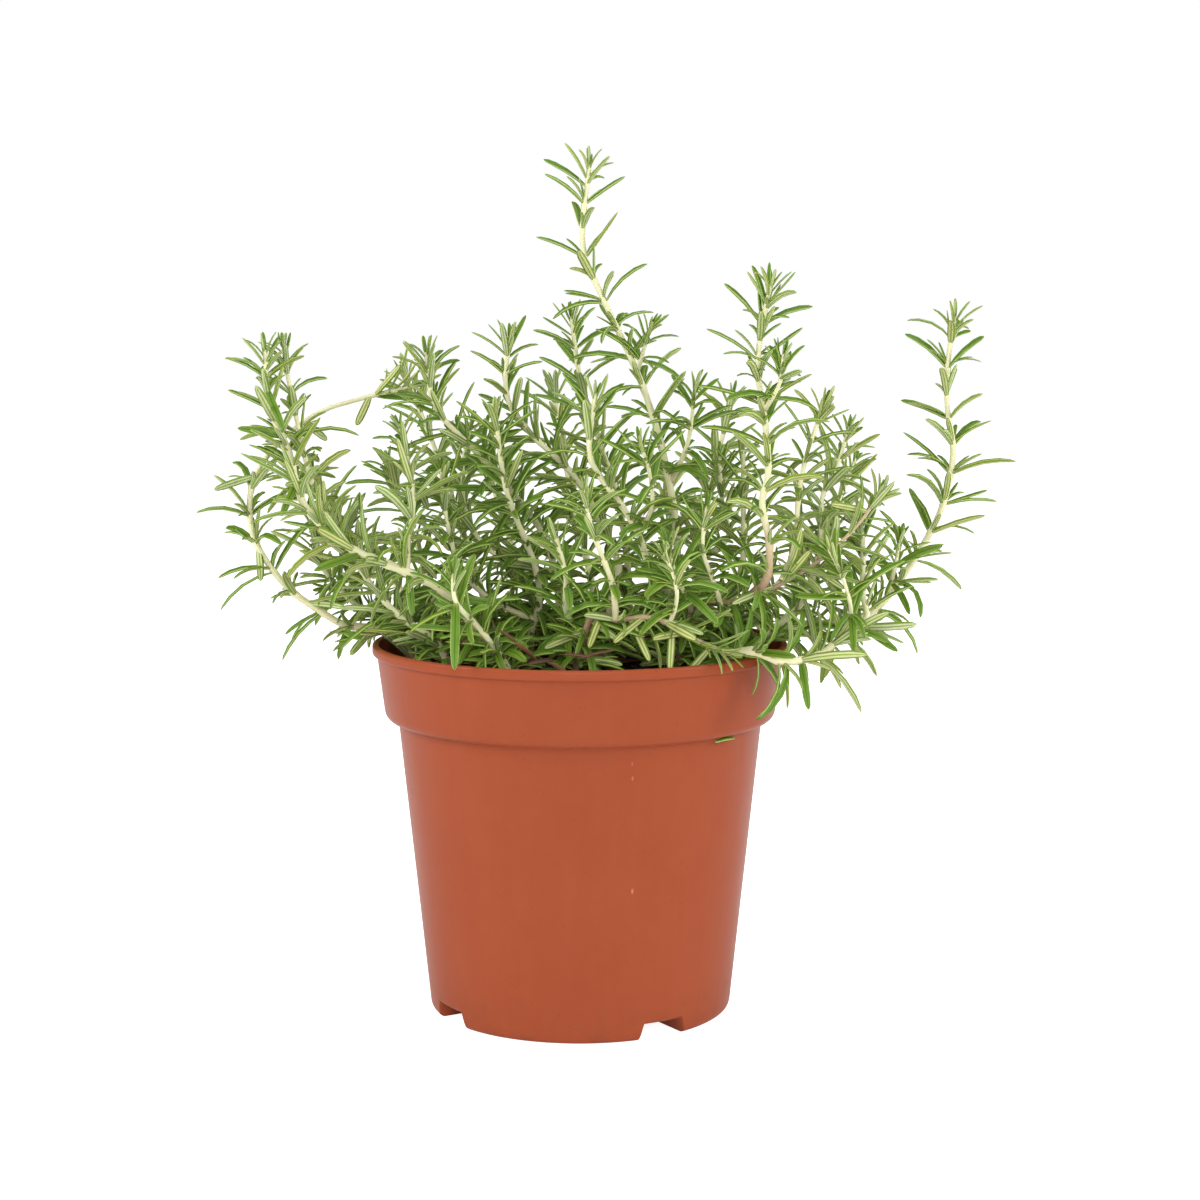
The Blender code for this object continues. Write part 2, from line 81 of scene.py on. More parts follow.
class Side(Enum):
    """Where the upper side of a leaf looks that is placed on its own."""

    AWAY = "away"            # to the back
    TOWARD = "toward"        # to the front
    OUT = "out"              # to the right


# shapes ------------------------------------------------------------------------------
@dataclass
class Surface:
    """Points, faces and what is painted on them, held as whole arrays.

    ``faces`` and ``places`` hold one array per face size: vertex numbers (F, n) and
    the (u, v) of every corner (F, n, 2).  ``marks`` holds one number per point.
    """

    points: Array
    faces: list[Array]
    places: list[Array]
    marks: dict[str, Array] = field(default_factory=dict)

    @staticmethod
    def joined(parts: "list[Surface]") -> "Surface":
        """One surface holding all the parts, which must carry the same marks.

        Args:
            parts: Surfaces to put together, left as they are.

        Returns:
            The surface of them all.
        """
        starts = np.cumsum([0] + [len(part.points) for part in parts])
        return Surface(
            np.concatenate([part.points for part in parts]),
            [faces + start for part, start in zip(parts, starts) for faces in part.faces],
            [place for part in parts for place in part.places],
            {name: np.concatenate([part.marks[name] for part in parts])
             for name in parts[0].marks})

    def mesh(self, name: str) -> bpy.types.Mesh:
        """A Blender mesh of this surface, smooth, with its marks and its corner places.

        Args:
            name: Name of the mesh.

        Returns:
            The new mesh.
        """
        sizes = np.concatenate([np.full(len(f), f.shape[1]) for f in self.faces])
        corners = np.concatenate([f.ravel() for f in self.faces])
        mesh = bpy.data.meshes.new(name)
        mesh.vertices.add(len(self.points))
        mesh.vertices.foreach_set("co", self.points.astype(np.float32).ravel())
        mesh.loops.add(len(corners))
        mesh.loops.foreach_set("vertex_index", corners.astype(np.int32))
        mesh.polygons.add(len(sizes))
        mesh.polygons.foreach_set("loop_start",
                                  np.concatenate([[0], np.cumsum(sizes)[:-1]]).astype(np.int32))
        mesh.polygons.foreach_set("use_smooth", np.ones(len(sizes), dtype=bool))
        layer = mesh.uv_layers.new(name="Along")
        layer.data.foreach_set("uv", np.concatenate(
            [p.reshape(-1, 2) for p in self.places]).astype(np.float32).ravel())
        for mark, values in self.marks.items():
            made = mesh.attributes.new(mark, "FLOAT", "POINT")
            made.data.foreach_set("value", values.astype(np.float32))
        mesh.update(calc_edges=True)
        mesh.validate()
        return mesh


def swept(rings: Array, stations: Array) -> Surface:
    """Closed tubes through rings of points.

    Ring i of a tube joins ring i + 1 corner by corner, and a flat face closes each
    end.  u runs once round the ring and v follows the stations.

    Args:
        rings: (tubes, rings, corners, 3), corners anticlockwise round the way ahead.
        stations: (rings,) value of v at each ring.

    Returns:
        The surface of all the tubes.
    """
    tubes, count, corners = rings.shape[:3]
    index = np.arange(tubes * count * corners).reshape(tubes, count, corners)
    beside = np.roll(index, -1, axis=2)
    quads = np.stack([index[:, :-1], beside[:, :-1], beside[:, 1:], index[:, 1:]], axis=-1)
    u = np.arange(corners) / corners
    near, far = np.broadcast_arrays(u[None, :], u[None, :] + 1 / corners)
    low, high = stations[:-1, None], stations[1:, None]
    place = np.stack([np.stack(np.broadcast_arrays(near, low), -1),
                      np.stack(np.broadcast_arrays(far, low), -1),
                      np.stack(np.broadcast_arrays(far, high), -1),
                      np.stack(np.broadcast_arrays(near, high), -1)], axis=2)
    place = np.broadcast_to(place, (tubes, *place.shape))
    foot = np.broadcast_to(np.column_stack([u[::-1], np.full(corners, stations[0])]),
                           (tubes, corners, 2))
    head = np.broadcast_to(np.column_stack([u, np.full(corners, stations[-1])]),
                           (tubes, corners, 2))
    return Surface(rings.reshape(-1, 3),
                   [quads.reshape(-1, 4), index[:, 0, ::-1], index[:, -1]],
                   [place.reshape(-1, 4, 2), foot, head])


def unit(vectors: Array) -> Array:
    """The same directions, each one long."""
    return vectors / np.maximum(np.linalg.norm(vectors, axis=-1, keepdims=True), 1e-12)


def smoothstep(low: float, high: float, values: Array) -> Array:
    """0 below low, 1 above high, and 3s^2 - 2s^3 of the share s between them."""
    share = np.clip((values - low) / (high - low), 0.0, 1.0)
    return share * share * (3.0 - 2.0 * share)


def lattice_noise(x: Array, y: Array, cell: float, seed: int) -> Array:
    """Smooth bumps from -1 to 1: random corners of square cells, eased between.

    Args:
        x: First coordinate of every point.
        y: Second coordinate of every point.
        cell: Side of one cell.
        seed: Seed of the random corners.

    Returns:
        One value per point.
    """
    table = np.random.default_rng(seed).uniform(-1.0, 1.0, (97, 97))
    column, row = x / cell + 480.0, y / cell + 480.0
    i, j = np.floor(column).astype(int), np.floor(row).astype(int)
    s, t = smoothstep(0.0, 1.0, column - i), smoothstep(0.0, 1.0, row - j)
    i, j, k, m = i % 97, j % 97, (i + 1) % 97, (j + 1) % 97
    return ((table[i, j] * (1 - s) + table[k, j] * s) * (1 - t)
            + (table[i, m] * (1 - s) + table[k, m] * s) * t)


def smooth_line(points: tuple) -> Array:
    """A Catmull-Rom curve through the points: each stretch a cubic of its four nearest.

    Args:
        points: The points it passes, in mm.

    Returns:
        Close points along the curve, in metres.
    """
    knots = np.array(points, dtype=float) * MM
    knots = np.vstack([2 * knots[0] - knots[1], knots, 2 * knots[-1] - knots[-2]])
    a, b, c, d = (knots[k:len(knots) - 3 + k, None] for k in range(4))
    t = np.linspace(0.0, 1.0, 24, endpoint=False)[None, :, None]
    curve = 0.5 * (2 * b + (c - a) * t + (2 * a - 5 * b + 4 * c - d) * t ** 2
                   + (3 * b - a - 3 * c + d) * t ** 3)
    return np.vstack([curve.reshape(-1, 3), knots[-2]])


def lengths_along(line: Array) -> Array:
    """Distance from the foot to each point of a line."""
    return np.concatenate([[0.0], np.cumsum(np.linalg.norm(np.diff(line, axis=0), axis=1))])


def rounded_profile(corners: tuple, steps: int = 6) -> Array:
    """A line of straight runs whose corners are turned into arcs.

    Args:
        corners: (radius, height, rounding) of every corner, in mm, ends included.
        steps: Straight pieces in each arc.

    Returns:
        (points, 2) radius and height in metres.
    """
    spots = np.array(corners, dtype=float)[:, :2] * MM
    line = [spots[0]]
    for before, here, after, (_, _, rounding) in zip(spots, spots[1:], spots[2:], corners[1:-1]):
        back, ahead = unit(before - here), unit(after - here)
        half = math.acos(float(np.clip(back @ ahead, -1.0, 1.0))) / 2
        cut = rounding * MM / math.tan(half)
        share = np.linspace(0.0, 1.0, steps + 1)[:, None]
        # a quadratic through the cut points, pulled to the corner, is near enough an arc
        line.extend((1 - share) ** 2 * (here + back * cut) + 2 * share * (1 - share) * here
                    + share ** 2 * (here + ahead * cut))
    line.append(spots[-1])
    return np.array(line)


def divided(profile: Array, fine: float, coarse: float, below: float) -> Array:
    """The same line with its long runs cut: at most fine long below a height, else coarse."""
    pieces = [profile[:1]]
    for start, end in zip(profile, profile[1:]):
        longest = fine if min(start[1], end[1]) < below else coarse
        count = max(1, math.ceil(float(np.linalg.norm(end - start)) / longest))
        share = np.linspace(0.0, 1.0, count + 1)[1:, None]
        pieces.append(start + (end - start) * share)
    return np.vstack(pieces)


# finishes ----------------------------------------------------------------------------
def srgb(red: int, green: int, blue: int) -> Colour:
    """A colour given as on a colour card, as light."""
    return tuple(((v / 255 + 0.055) / 1.055) ** 2.4 if v > 10 else v / 3294
                 for v in (red, green, blue))


class Wiring:
    """A node tree being put together."""

    def __init__(self, tree: bpy.types.NodeTree) -> None:
        """Keep the tree, emptied."""
        self.tree = tree
        tree.nodes.clear()

    def add(self, kind: str, inputs: dict | None = None, **settings: object) -> bpy.types.Node:
        """A node with its inputs set or wired.

        Args:
            kind: Kind of node, without "ShaderNode".
            inputs: Value or output socket for each input, by name or number.
            **settings: Settings of the node itself.

        Returns:
            The new node.
        """
        node = self.tree.nodes.new("ShaderNode" + kind)
        for name, value in settings.items():
            setattr(node, name, value)
        self.give(node, inputs or {})
        return node

    def give(self, node: bpy.types.Node, inputs: dict) -> None:
        """Set or wire a node's inputs: a value or an output socket for each."""
        for key, value in inputs.items():
            if isinstance(value, bpy.types.NodeSocket):
                self.tree.links.new(value, node.inputs[key])
            elif isinstance(value, tuple) and len(value) == 3 and node.inputs[key].type == "RGBA":
                node.inputs[key].default_value = (*value, 1.0)
            else:
                node.inputs[key].default_value = value

    def sums(self, operation: str, first: object, second: object = 0.0,
             third: object = 0.0) -> bpy.types.NodeSocket:
        """A number worked out from up to three others."""
        return self.add("Math", {0: first, 1: second, 2: third}, operation=operation).outputs[0]

    def between(self, value: object, low: float, high: float, start: float = 0.0,
                end: float = 1.0) -> bpy.types.NodeSocket:
        """The value's place between low and high, as a number from start to end."""
        return self.add("MapRange", {"Value": value, "From Min": low, "From Max": high,
                                     "To Min": start, "To Max": end}).outputs[0]

    def mix(self, share: object, first: object, second: object,
            blend: str = "MIX") -> bpy.types.NodeSocket:
        """Two colours mixed by a share."""
        return self.add("Mix", {0: share, 6: first, 7: second}, data_type="RGBA",
                        blend_type=blend).outputs[2]

    def ramp(self, value: object, stops: tuple) -> bpy.types.NodeSocket:
        """A colour read off a ramp of (place, colour) stops."""
        node = self.add("ValToRGB", {0: value})
        marks = node.color_ramp.elements
        while len(marks) < len(stops):
            marks.new(0.5)
        for mark, (place, _) in zip(marks, stops):
            mark.position = place
        for mark, (_, colour) in zip(marks, stops):
            mark.color = (*colour, 1.0)
        return node.outputs[0]

    def noise(self, vector: object, scale: float, detail: float = 3.0,
              rough: float = 0.55) -> bpy.types.NodeSocket:
        """Cloudy noise from about 0.3 to 0.7."""
        return self.add("TexNoise", {"Vector": vector, "Scale": scale, "Detail": detail,
                                     "Roughness": rough}).outputs["Fac"]

    def stretched(self, vector: object, x: float, y: float, z: float) -> bpy.types.NodeSocket:
        """The same place with each axis scaled."""
        return self.add("Mapping", {"Vector": vector, "Scale": (x, y, z)}).outputs[0]


def shared_group(name: str, sockets_in: tuple, sockets_out: tuple) -> tuple:
    """An empty node group with the named sockets.

    Args:
        name: Name of the group.
        sockets_in: (name, kind, value) of each input.
        sockets_out: (name, kind) of each output.

    Returns:
        The wiring, its input node and its output node.
    """
    tree = bpy.data.node_groups.new(name, "ShaderNodeTree")
    for label, kind, value in sockets_in:
        made = tree.interface.new_socket(label, in_out="INPUT", socket_type="NodeSocket" + kind)
        if value is not None:
            made.default_value = value
    for label, kind in sockets_out:
        tree.interface.new_socket(label, in_out="OUTPUT", socket_type="NodeSocket" + kind)
    wiring = Wiring(tree)
    return (wiring, tree.nodes.new("NodeGroupInput"), tree.nodes.new("NodeGroupOutput"))


class Effects:
    """The effects that several finishes share, each one node group."""

    def __init__(self) -> None:
        """Build every group once."""
        self.specks = self._specks()
        self.mottle = self._mottle()

    @staticmethod
    def _specks() -> bpy.types.NodeTree:
        """Small round flecks: 1 where a cell's own spot is nearer than its size."""
        w, given, out = shared_group(
            "flecks", (("Vector", "Vector", None), ("Scale", "Float", 300.0),
                       ("Size", "Float", 0.12), ("Share", "Float", 0.4)), (("Mask", "Float"),))
        cells = w.add("TexVoronoi", {"Vector": given.outputs[0], "Scale": given.outputs[1]})
        pick = w.add("SeparateColor", {0: cells.outputs["Color"]})
        chosen = w.sums("LESS_THAN", pick.outputs[0], given.outputs[3])
        size = w.sums("MULTIPLY", given.outputs[2], w.sums("ADD", pick.outputs[1], 0.35))
        edge = w.sums("SUBTRACT", size, cells.outputs["Distance"])
        soft = w.sums("MULTIPLY", edge, 14.0)
        soft = w.sums("MINIMUM", w.sums("MAXIMUM", soft, 0.0), 1.0)
        w.tree.links.new(w.sums("MULTIPLY", soft, chosen), out.inputs[0])
        return w.tree

    @staticmethod
    def _mottle() -> bpy.types.NodeTree:
        """Slow and quick noise together, from 0 to 1 about the middle."""
        w, given, out = shared_group(
            "mottle", (("Vector", "Vector", None), ("Scale", "Float", 60.0),
                       ("Contrast", "Float", 1.6)), (("Value", "Float"),))
        slow = w.noise(given.outputs[0], 1.0)
        w.tree.links.new(given.outputs[1], slow.node.inputs["Scale"])
        quick = w.noise(given.outputs[0], 1.0, 2.0)
        w.tree.links.new(w.sums("MULTIPLY", given.outputs[1], 5.0), quick.node.inputs["Scale"])
        both = w.sums("MULTIPLY_ADD", quick, 0.35, w.sums("MULTIPLY", slow, 0.65))
        spread = w.sums("MULTIPLY_ADD", w.sums("SUBTRACT", both, 0.5), given.outputs[2], 0.5)
        clamped = w.sums("MINIMUM", w.sums("MAXIMUM", spread, 0.0), 1.0)
        w.tree.links.new(clamped, out.inputs[0])
        return w.tree

    @staticmethod
    def use(wiring: Wiring, group: bpy.types.NodeTree, inputs: dict) -> bpy.types.NodeSocket:
        """The group placed in a material, then wired, since its sockets come with its tree.

        Args:
            wiring: The material's wiring.
            group: One of the shared groups.
            inputs: Its inputs by name.

        Returns:
            The group's first output.
        """
        node = wiring.tree.nodes.new("ShaderNodeGroup")
        node.node_tree = group
        wiring.give(node, inputs)
        return node.outputs[0]


@dataclass(frozen=True)
class Plastic:
    """Terracotta-coloured moulded plastic: satin, faintly mottled, flecked and scuffed."""

    base: Colour = srgb(149, 70, 42)
    light: Colour = srgb(176, 92, 58)
    fleck: Colour = srgb(92, 42, 28)

    def material(self, effects: Effects) -> bpy.types.Material:
        """The material.

        Args:
            effects: The shared effects.

        Returns:
            The new material.
        """
        made, w, shader = new_material("pot_plastic")
        where = w.add("TexCoord").outputs["Object"]
        cloud = effects.use(w, effects.mottle, {"Vector": where, "Scale": 34.0, "Contrast": 1.5})
        colour = w.mix(w.sums("MULTIPLY", cloud, 0.30), self.base, self.light)
        flecks = effects.use(w, effects.specks, {"Vector": where, "Scale": 620.0, "Size": 0.16,
                                                 "Share": 0.30})
        colour = w.mix(w.sums("MULTIPLY", flecks, 0.34), colour, self.fleck)
        # flow marks that run up the wall, and a few pale nicks
        flow = w.noise(w.stretched(where, 210.0, 210.0, 16.0), 1.0, 3.0, 0.6)
        colour = w.mix(w.between(flow, 0.35, 0.68, 0.0, 0.26), colour, srgb(150, 66, 38))
        nicks = effects.use(w, effects.specks, {"Vector": w.stretched(where, 1.0, 1.0, 0.45),
                                                "Scale": 260.0, "Size": 0.10, "Share": 0.16})
        patch = w.between(w.noise(where, 24.0, 1.0), 0.46, 0.62)
        rubs = w.sums("MULTIPLY", nicks, patch)
        colour = w.mix(w.sums("MULTIPLY", rubs, 0.45), colour, srgb(222, 150, 122))
        height = w.add("SeparateXYZ", {0: where}).outputs[2]
        # patchy darkening low on the wall, strongest at the foot
        darker_low = w.sums("MULTIPLY", w.between(height, 0.016, 0.0, 0.0, 1.0),
                       w.between(w.noise(where, 160.0, 4.0), 0.45, 0.65))
        colour = w.mix(w.sums("MULTIPLY", darker_low, 0.35), colour, srgb(120, 66, 46))
        rough = w.sums("ADD", w.between(cloud, 0.0, 1.0, 0.26, 0.38),
                       w.sums("MULTIPLY", rubs, 0.16))
        grain = w.noise(where, 1500.0, 2.0)
        swell = w.noise(where, 90.0, 1.0)
        relief = w.sums("MULTIPLY_ADD", swell, 1.5, w.sums("MULTIPLY", grain, 0.16))
        bump = w.add("Bump", {"Strength": 0.10, "Distance": 0.0006, "Height": relief})
        w.give(shader, {"Base Color": colour, "Roughness": rough, "Normal": bump.outputs[0],
                          "IOR": 1.45, "Specular IOR Level": 0.13})
        return made


@dataclass(frozen=True)
class Leaf:
    """Rosemary leaf: grooved green above, with painted shade in the groove and a painted highlight
    on the rolled edges; white felt below between midrib and rolled edges.
    """

    # painted highlight: a pale band along the rolled edges, where they would catch the light
    edge: Colour = srgb(186, 202, 132)
    margin: Colour = srgb(124, 152, 62)
    shoulder: Colour = srgb(104, 140, 46)
    # painted shade: the groove darker, as shade falls in the crease
    groove: Colour = srgb(64, 98, 24)
    felt: Colour = srgb(212, 218, 180)
    midrib: Colour = srgb(146, 168, 84)
    young: Colour = (1.03, 1.03, 1.00)
    old: Colour = (1.02, 1.04, 0.92)

    def material(self, name: str, effects: Effects, dead: float = 0.0) -> bpy.types.Material:
        """The material.

        Args:
            name: Name of the material.
            effects: The shared effects.
            dead: 0 for a living leaf, 1 for one dried brown.

        Returns:
            The new material.
        """
        made, w, shader = new_material(name)
        across = w.add("SeparateXYZ", {0: w.add("UVMap", uv_map="Along").outputs[0]})
        where = w.add("TexCoord").outputs["Object"]
        # u is 0 on the groove, 0.5 on the midrib below; fold it to 1 above, 0 below
        fold = w.sums("MULTIPLY", w.sums("ABSOLUTE", w.sums("SUBTRACT", across.outputs[0], 0.5)),
                      2.0)
        if dead:
            stops = ((0.0, srgb(150, 112, 88)), (0.5, srgb(112, 76, 62)), (1.0, srgb(66, 42, 36)))
        else:
            stops = ((0.0, self.midrib), (0.045, self.midrib), (0.08, self.felt),
                     (0.20, self.felt), (0.27, self.margin), (0.44, self.margin),
                     # the edge stops paint a highlight along the rolled edges
                     (0.49, self.edge), (0.54, self.edge), (0.60, self.shoulder),
                     # the groove stop paints shade into the crease down the middle
                     (0.90, self.shoulder), (1.0, self.groove))
        colour = w.ramp(fold, stops)
        age = w.add("Attribute", attribute_name="age").outputs["Fac"]
        tint = w.add("Attribute", attribute_name="tint").outputs["Fac"]
        colour = w.mix(1.0, colour, w.mix(age, self.young, self.old), "MULTIPLY")
        warm = w.mix(tint, srgb(236, 246, 200), srgb(255, 244, 196))
        colour = w.mix(w.between(tint, 0.0, 1.0, 0.0, 0.75), colour,
                       w.mix(1.0, colour, warm, "MULTIPLY"))
        shade = effects.use(w, effects.mottle, {"Vector": where, "Scale": 140.0,
                                                "Contrast": 1.4})
        colour = w.mix(w.between(shade, 0.0, 1.0, 0.30, 0.0), colour,
                       w.mix(1.0, colour, (0.62, 0.66, 0.50), "MULTIPLY"))
        foot = w.between(across.outputs[1], 0.12, 0.0)
        colour = w.mix(w.sums("MULTIPLY", foot, 0.0 if dead else 0.55), colour,
                       srgb(186, 190, 128))
        tip = w.sums("MULTIPLY", w.between(across.outputs[1], 0.955, 1.0),
                     w.between(tint, 0.80, 0.86))
        colour = w.mix(w.sums("MULTIPLY", tip, 0.8), colour, srgb(120, 84, 44))
        veins = w.noise(where, 2600.0, 2.0)
        bump = w.add("Bump", {"Strength": 0.18, "Distance": 0.0002, "Height": veins})
        felted = w.between(fold, 0.36, 0.48)
        rough = w.between(felted, 0.0, 1.0, 0.85, 0.62 if dead else 0.44)
        w.give(shader, {"Base Color": colour, "Roughness": rough, "Normal": bump.outputs[0],
                          "Specular IOR Level": 0.30})
        return made


@dataclass(frozen=True)
class Bark:
    """A stem from felted cream at the tip, through tan, to fissured brown at the foot."""

    felt: Colour = srgb(236, 233, 188)
    tan: Colour = srgb(226, 206, 166)
    brown: Colour = srgb(182, 144, 118)
    dark: Colour = srgb(104, 76, 64)

    def material(self, effects: Effects) -> bpy.types.Material:
        """The material.

        Args:
            effects: The shared effects.

        Returns:
            The new material.
        """
        made, w, shader = new_material("stem_bark")
        run = w.add("SeparateXYZ", {0: w.add("UVMap", uv_map="Along").outputs[0]})
        where = w.add("TexCoord").outputs["Object"]
        wood = w.add("Attribute", attribute_name="wood").outputs["Fac"]
        cloud = effects.use(w, effects.mottle, {"Vector": where, "Scale": 170.0,
                                                "Contrast": 1.8})
        shift = w.sums("ADD", wood, w.between(cloud, 0.0, 1.0, -0.13, 0.13))
        colour = w.ramp(shift, ((0.0, self.felt), (0.30, self.tan), (0.62, self.brown),
                                (1.0, self.dark)))
        lines = w.add("CombineXYZ", {0: w.sums("MULTIPLY", run.outputs[0], 7.0),
                                     1: w.sums("MULTIPLY", run.outputs[1], 260.0)}).outputs[0]
        fissure = w.noise(lines, 3.0, 4.0, 0.7)
        split = w.between(fissure, 0.36, 0.52)
        deep = w.sums("MULTIPLY", w.between(split, 0.0, 1.0, 1.0, 0.0),
                      w.between(wood, 0.12, 0.7))
        colour = w.mix(w.sums("MULTIPLY", deep, 0.62), colour, srgb(48, 32, 26))
        pale = w.sums("MULTIPLY", w.between(fissure, 0.58, 0.72), w.between(wood, 0.1, 0.5))
        colour = w.mix(w.sums("MULTIPLY", pale, 0.40), colour, srgb(196, 172, 140))
        relief = w.sums("MULTIPLY", fissure, w.between(wood, 0.0, 0.8, 0.25, 1.3))
        bump = w.add("Bump", {"Strength": 0.55, "Distance": 0.0005, "Height": relief})
        w.give(shader, {"Base Color": colour, "Roughness": w.between(cloud, 0.0, 1.0, 0.66, 0.9),
                          "Normal": bump.outputs[0], "Specular IOR Level": 0.3})
        return made


@dataclass(frozen=True)
class Soil:
    """Damp dark potting soil with paler fibres."""

    dark: Colour = srgb(44, 31, 24)
    light: Colour = srgb(92, 68, 52)

    def material(self, name: str, effects: Effects, chips: bool = False) -> bpy.types.Material:
        """The material.

        Args:
            name: Name of the material.
            effects: The shared effects.
            chips: Whether each lump carries its own tint from its mark.

        Returns:
            The new material.
        """
        made, w, shader = new_material(name)
        where = w.add("TexCoord").outputs["Object"]
        cloud = effects.use(w, effects.mottle, {"Vector": where, "Scale": 210.0,
                                                "Contrast": 2.0})
        colour = w.mix(cloud, self.dark, self.light)
        if chips:
            tint = w.add("Attribute", attribute_name="tint").outputs["Fac"]
            own = w.ramp(tint, ((0.0, srgb(34, 24, 19)), (0.45, srgb(66, 47, 36)),
                                (0.80, srgb(108, 78, 56)), (0.94, srgb(142, 110, 82)),
                                (1.0, srgb(196, 182, 160))))
            colour = w.mix(0.72, colour, own)
        fibres = effects.use(w, effects.specks, {"Vector": w.stretched(where, 1.0, 0.35, 1.0),
                                                 "Scale": 700.0, "Size": 0.2, "Share": 0.25})
        colour = w.mix(w.sums("MULTIPLY", fibres, 0.45), colour, srgb(150, 118, 88))
        grit = w.noise(where, 1400.0, 3.0, 0.7)
        bump = w.add("Bump", {"Strength": 0.8, "Distance": 0.0006, "Height": grit})
        w.give(shader, {"Base Color": colour, "Roughness": w.between(cloud, 0.0, 1.0, 0.95, 0.8),
                          "Normal": bump.outputs[0], "Specular IOR Level": 0.25})
        return made


def new_material(name: str) -> tuple[bpy.types.Material, Wiring, bpy.types.Node]:
    """A material with a Principled shader wired to its output.

    Args:
        name: Name of the material.

    Returns:
        The material, its wiring and its shader.
    """
    made = bpy.data.materials.new(name)
    made.use_nodes = True
    wiring = Wiring(made.node_tree)
    shader = wiring.add("BsdfPrincipled")
    out = wiring.add("OutputMaterial")
    wiring.tree.links.new(shader.outputs[0], out.inputs[0])
    return made, wiring, shader


def place_piece(name: str, surface: Surface, finish: bpy.types.Material,
                nodes: tuple[str, ...] = ()) -> bpy.types.Object:
    """Puts a surface into the scene as a piece of the object.

    Args:
        name: Name of the piece.
        surface: Its shape, in place.
        finish: Its material.
        nodes: The CAD nodes that it stands for.

    Returns:
        The new object.
    """
    piece = bpy.data.objects.new(name, surface.mesh(name))
    piece.data.materials.append(finish)
    bpy.context.scene.collection.objects.link(piece)
    settle(piece, nodes)
    LOG.info("%s: %d points", name, len(piece.data.vertices))
    return piece


def settle(piece: bpy.types.Object, nodes: tuple[str, ...]) -> None:
    """The piece rides on the body and stands for its nodes."""
    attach(piece, BODY)
    if nodes:
        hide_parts(*nodes)


# pot and soil ------------------------------------------------------------------------
@dataclass(frozen=True)
class Channels:
    """Four drainage channels under the base, open at the foot of the wall."""

    bearings: tuple[float, ...] = (-57.5, 32.5, 122.5, 212.5)
    half_width: float = 7.4 * MM
    slope: float = 0.8 * MM
    height: float = 5.0 * MM
    inner: float = 24.0 * MM
    fade: float = 14.0 * MM       # height over which the wall takes up the lift
    draft: float = 0.106          # how fast the wall widens with height

    def bearings_of(self, radii: Array) -> Array:
        """Bearings of the columns at each radius: lines that follow the channels' sides.

        Beside a channel's middle line at distance t the bearing is the channel's own
        plus asin(t / r); between channels the columns are spread evenly.

        Args:
            radii: (rows,) radius of each row.

        Returns:
            (rows, columns) bearings in radians from the front towards the right.
        """
        side = np.array([0.0, 2.2, 4.2, 5.8, 6.5, 6.9, 7.3, 7.7, 8.1, 8.5, 9.4]) * MM
        across = np.concatenate([-side[:0:-1], side])
        turn = np.arcsin(across[None, :] / np.maximum(radii, self.inner)[:, None])
        between = np.linspace(0.0, 1.0, 34)[None, 1:-1]
        columns = []
        for bearing in self.bearings:
            here = math.radians(bearing) + turn
            gap = math.radians(90.0) - turn[:, -1:] + turn[:, :1]
            columns += [here, here[:, -1:] + gap * between]
        return np.concatenate(columns, axis=1)

    def lift(self, x: Array, y: Array, spread: float) -> Array:
        """How far the base is raised: height x side(|t|) x end(r), each an eased step.

        Args:
            x: First coordinate of every point.
            y: Second coordinate of every point.
            spread: How much wider and longer than the room below the lifted part is.

        Returns:
            The lift of every point.
        """
        share = np.zeros_like(x)
        for bearing in np.radians(self.bearings):
            along = x * math.sin(bearing) - y * math.cos(bearing)
            across = np.abs(x * math.cos(bearing) + y * math.sin(bearing))
            side = 1.0 - smoothstep(self.half_width - self.slope + spread,
                                    self.half_width + self.slope + spread, across)
            end = smoothstep(self.inner - self.slope - spread, self.inner + self.slope - spread,
                             along)
            share = np.maximum(share, side * end)
        return self.height * share

    def shaped(self, points: Array, spread: float, base: float) -> Array:
        """Points raised over the channels, the lower wall drawn together above them.

        Args:
            points: (..., 3) points of a turned shape.
            spread: As for lift.
            base: Height of the shape's own floor.

        Returns:
            The moved points.
        """
        x, y, z = np.moveaxis(points, -1, 0)
        room = np.clip(1.0 - (z - base) / self.fade, 0.0, 1.0)
        rise = self.lift(x, y, spread) * room
        radius = np.hypot(x, y)
        wider = 1.0 + self.draft * rise * smoothstep(0.044, 0.0475, radius) / np.maximum(
            radius, 0.01)
        return np.stack([x * wider, y * wider, z + rise], axis=-1)


def turned(profile: Array, bearings: Array) -> Array:
    """A profile turned round the axis: x = r sin b, y = -r cos b.

    Args:
        profile: (rows, 2) radius and height.
        bearings: (rows, columns) bearing of every point.

    Returns:
        (rows, columns, 3) points.
    """
    radius, height = profile[:, :1], profile[:, 1:]
    return np.stack([radius * np.sin(bearings), -radius * np.cos(bearings),
                     np.broadcast_to(height, bearings.shape)], axis=-1)


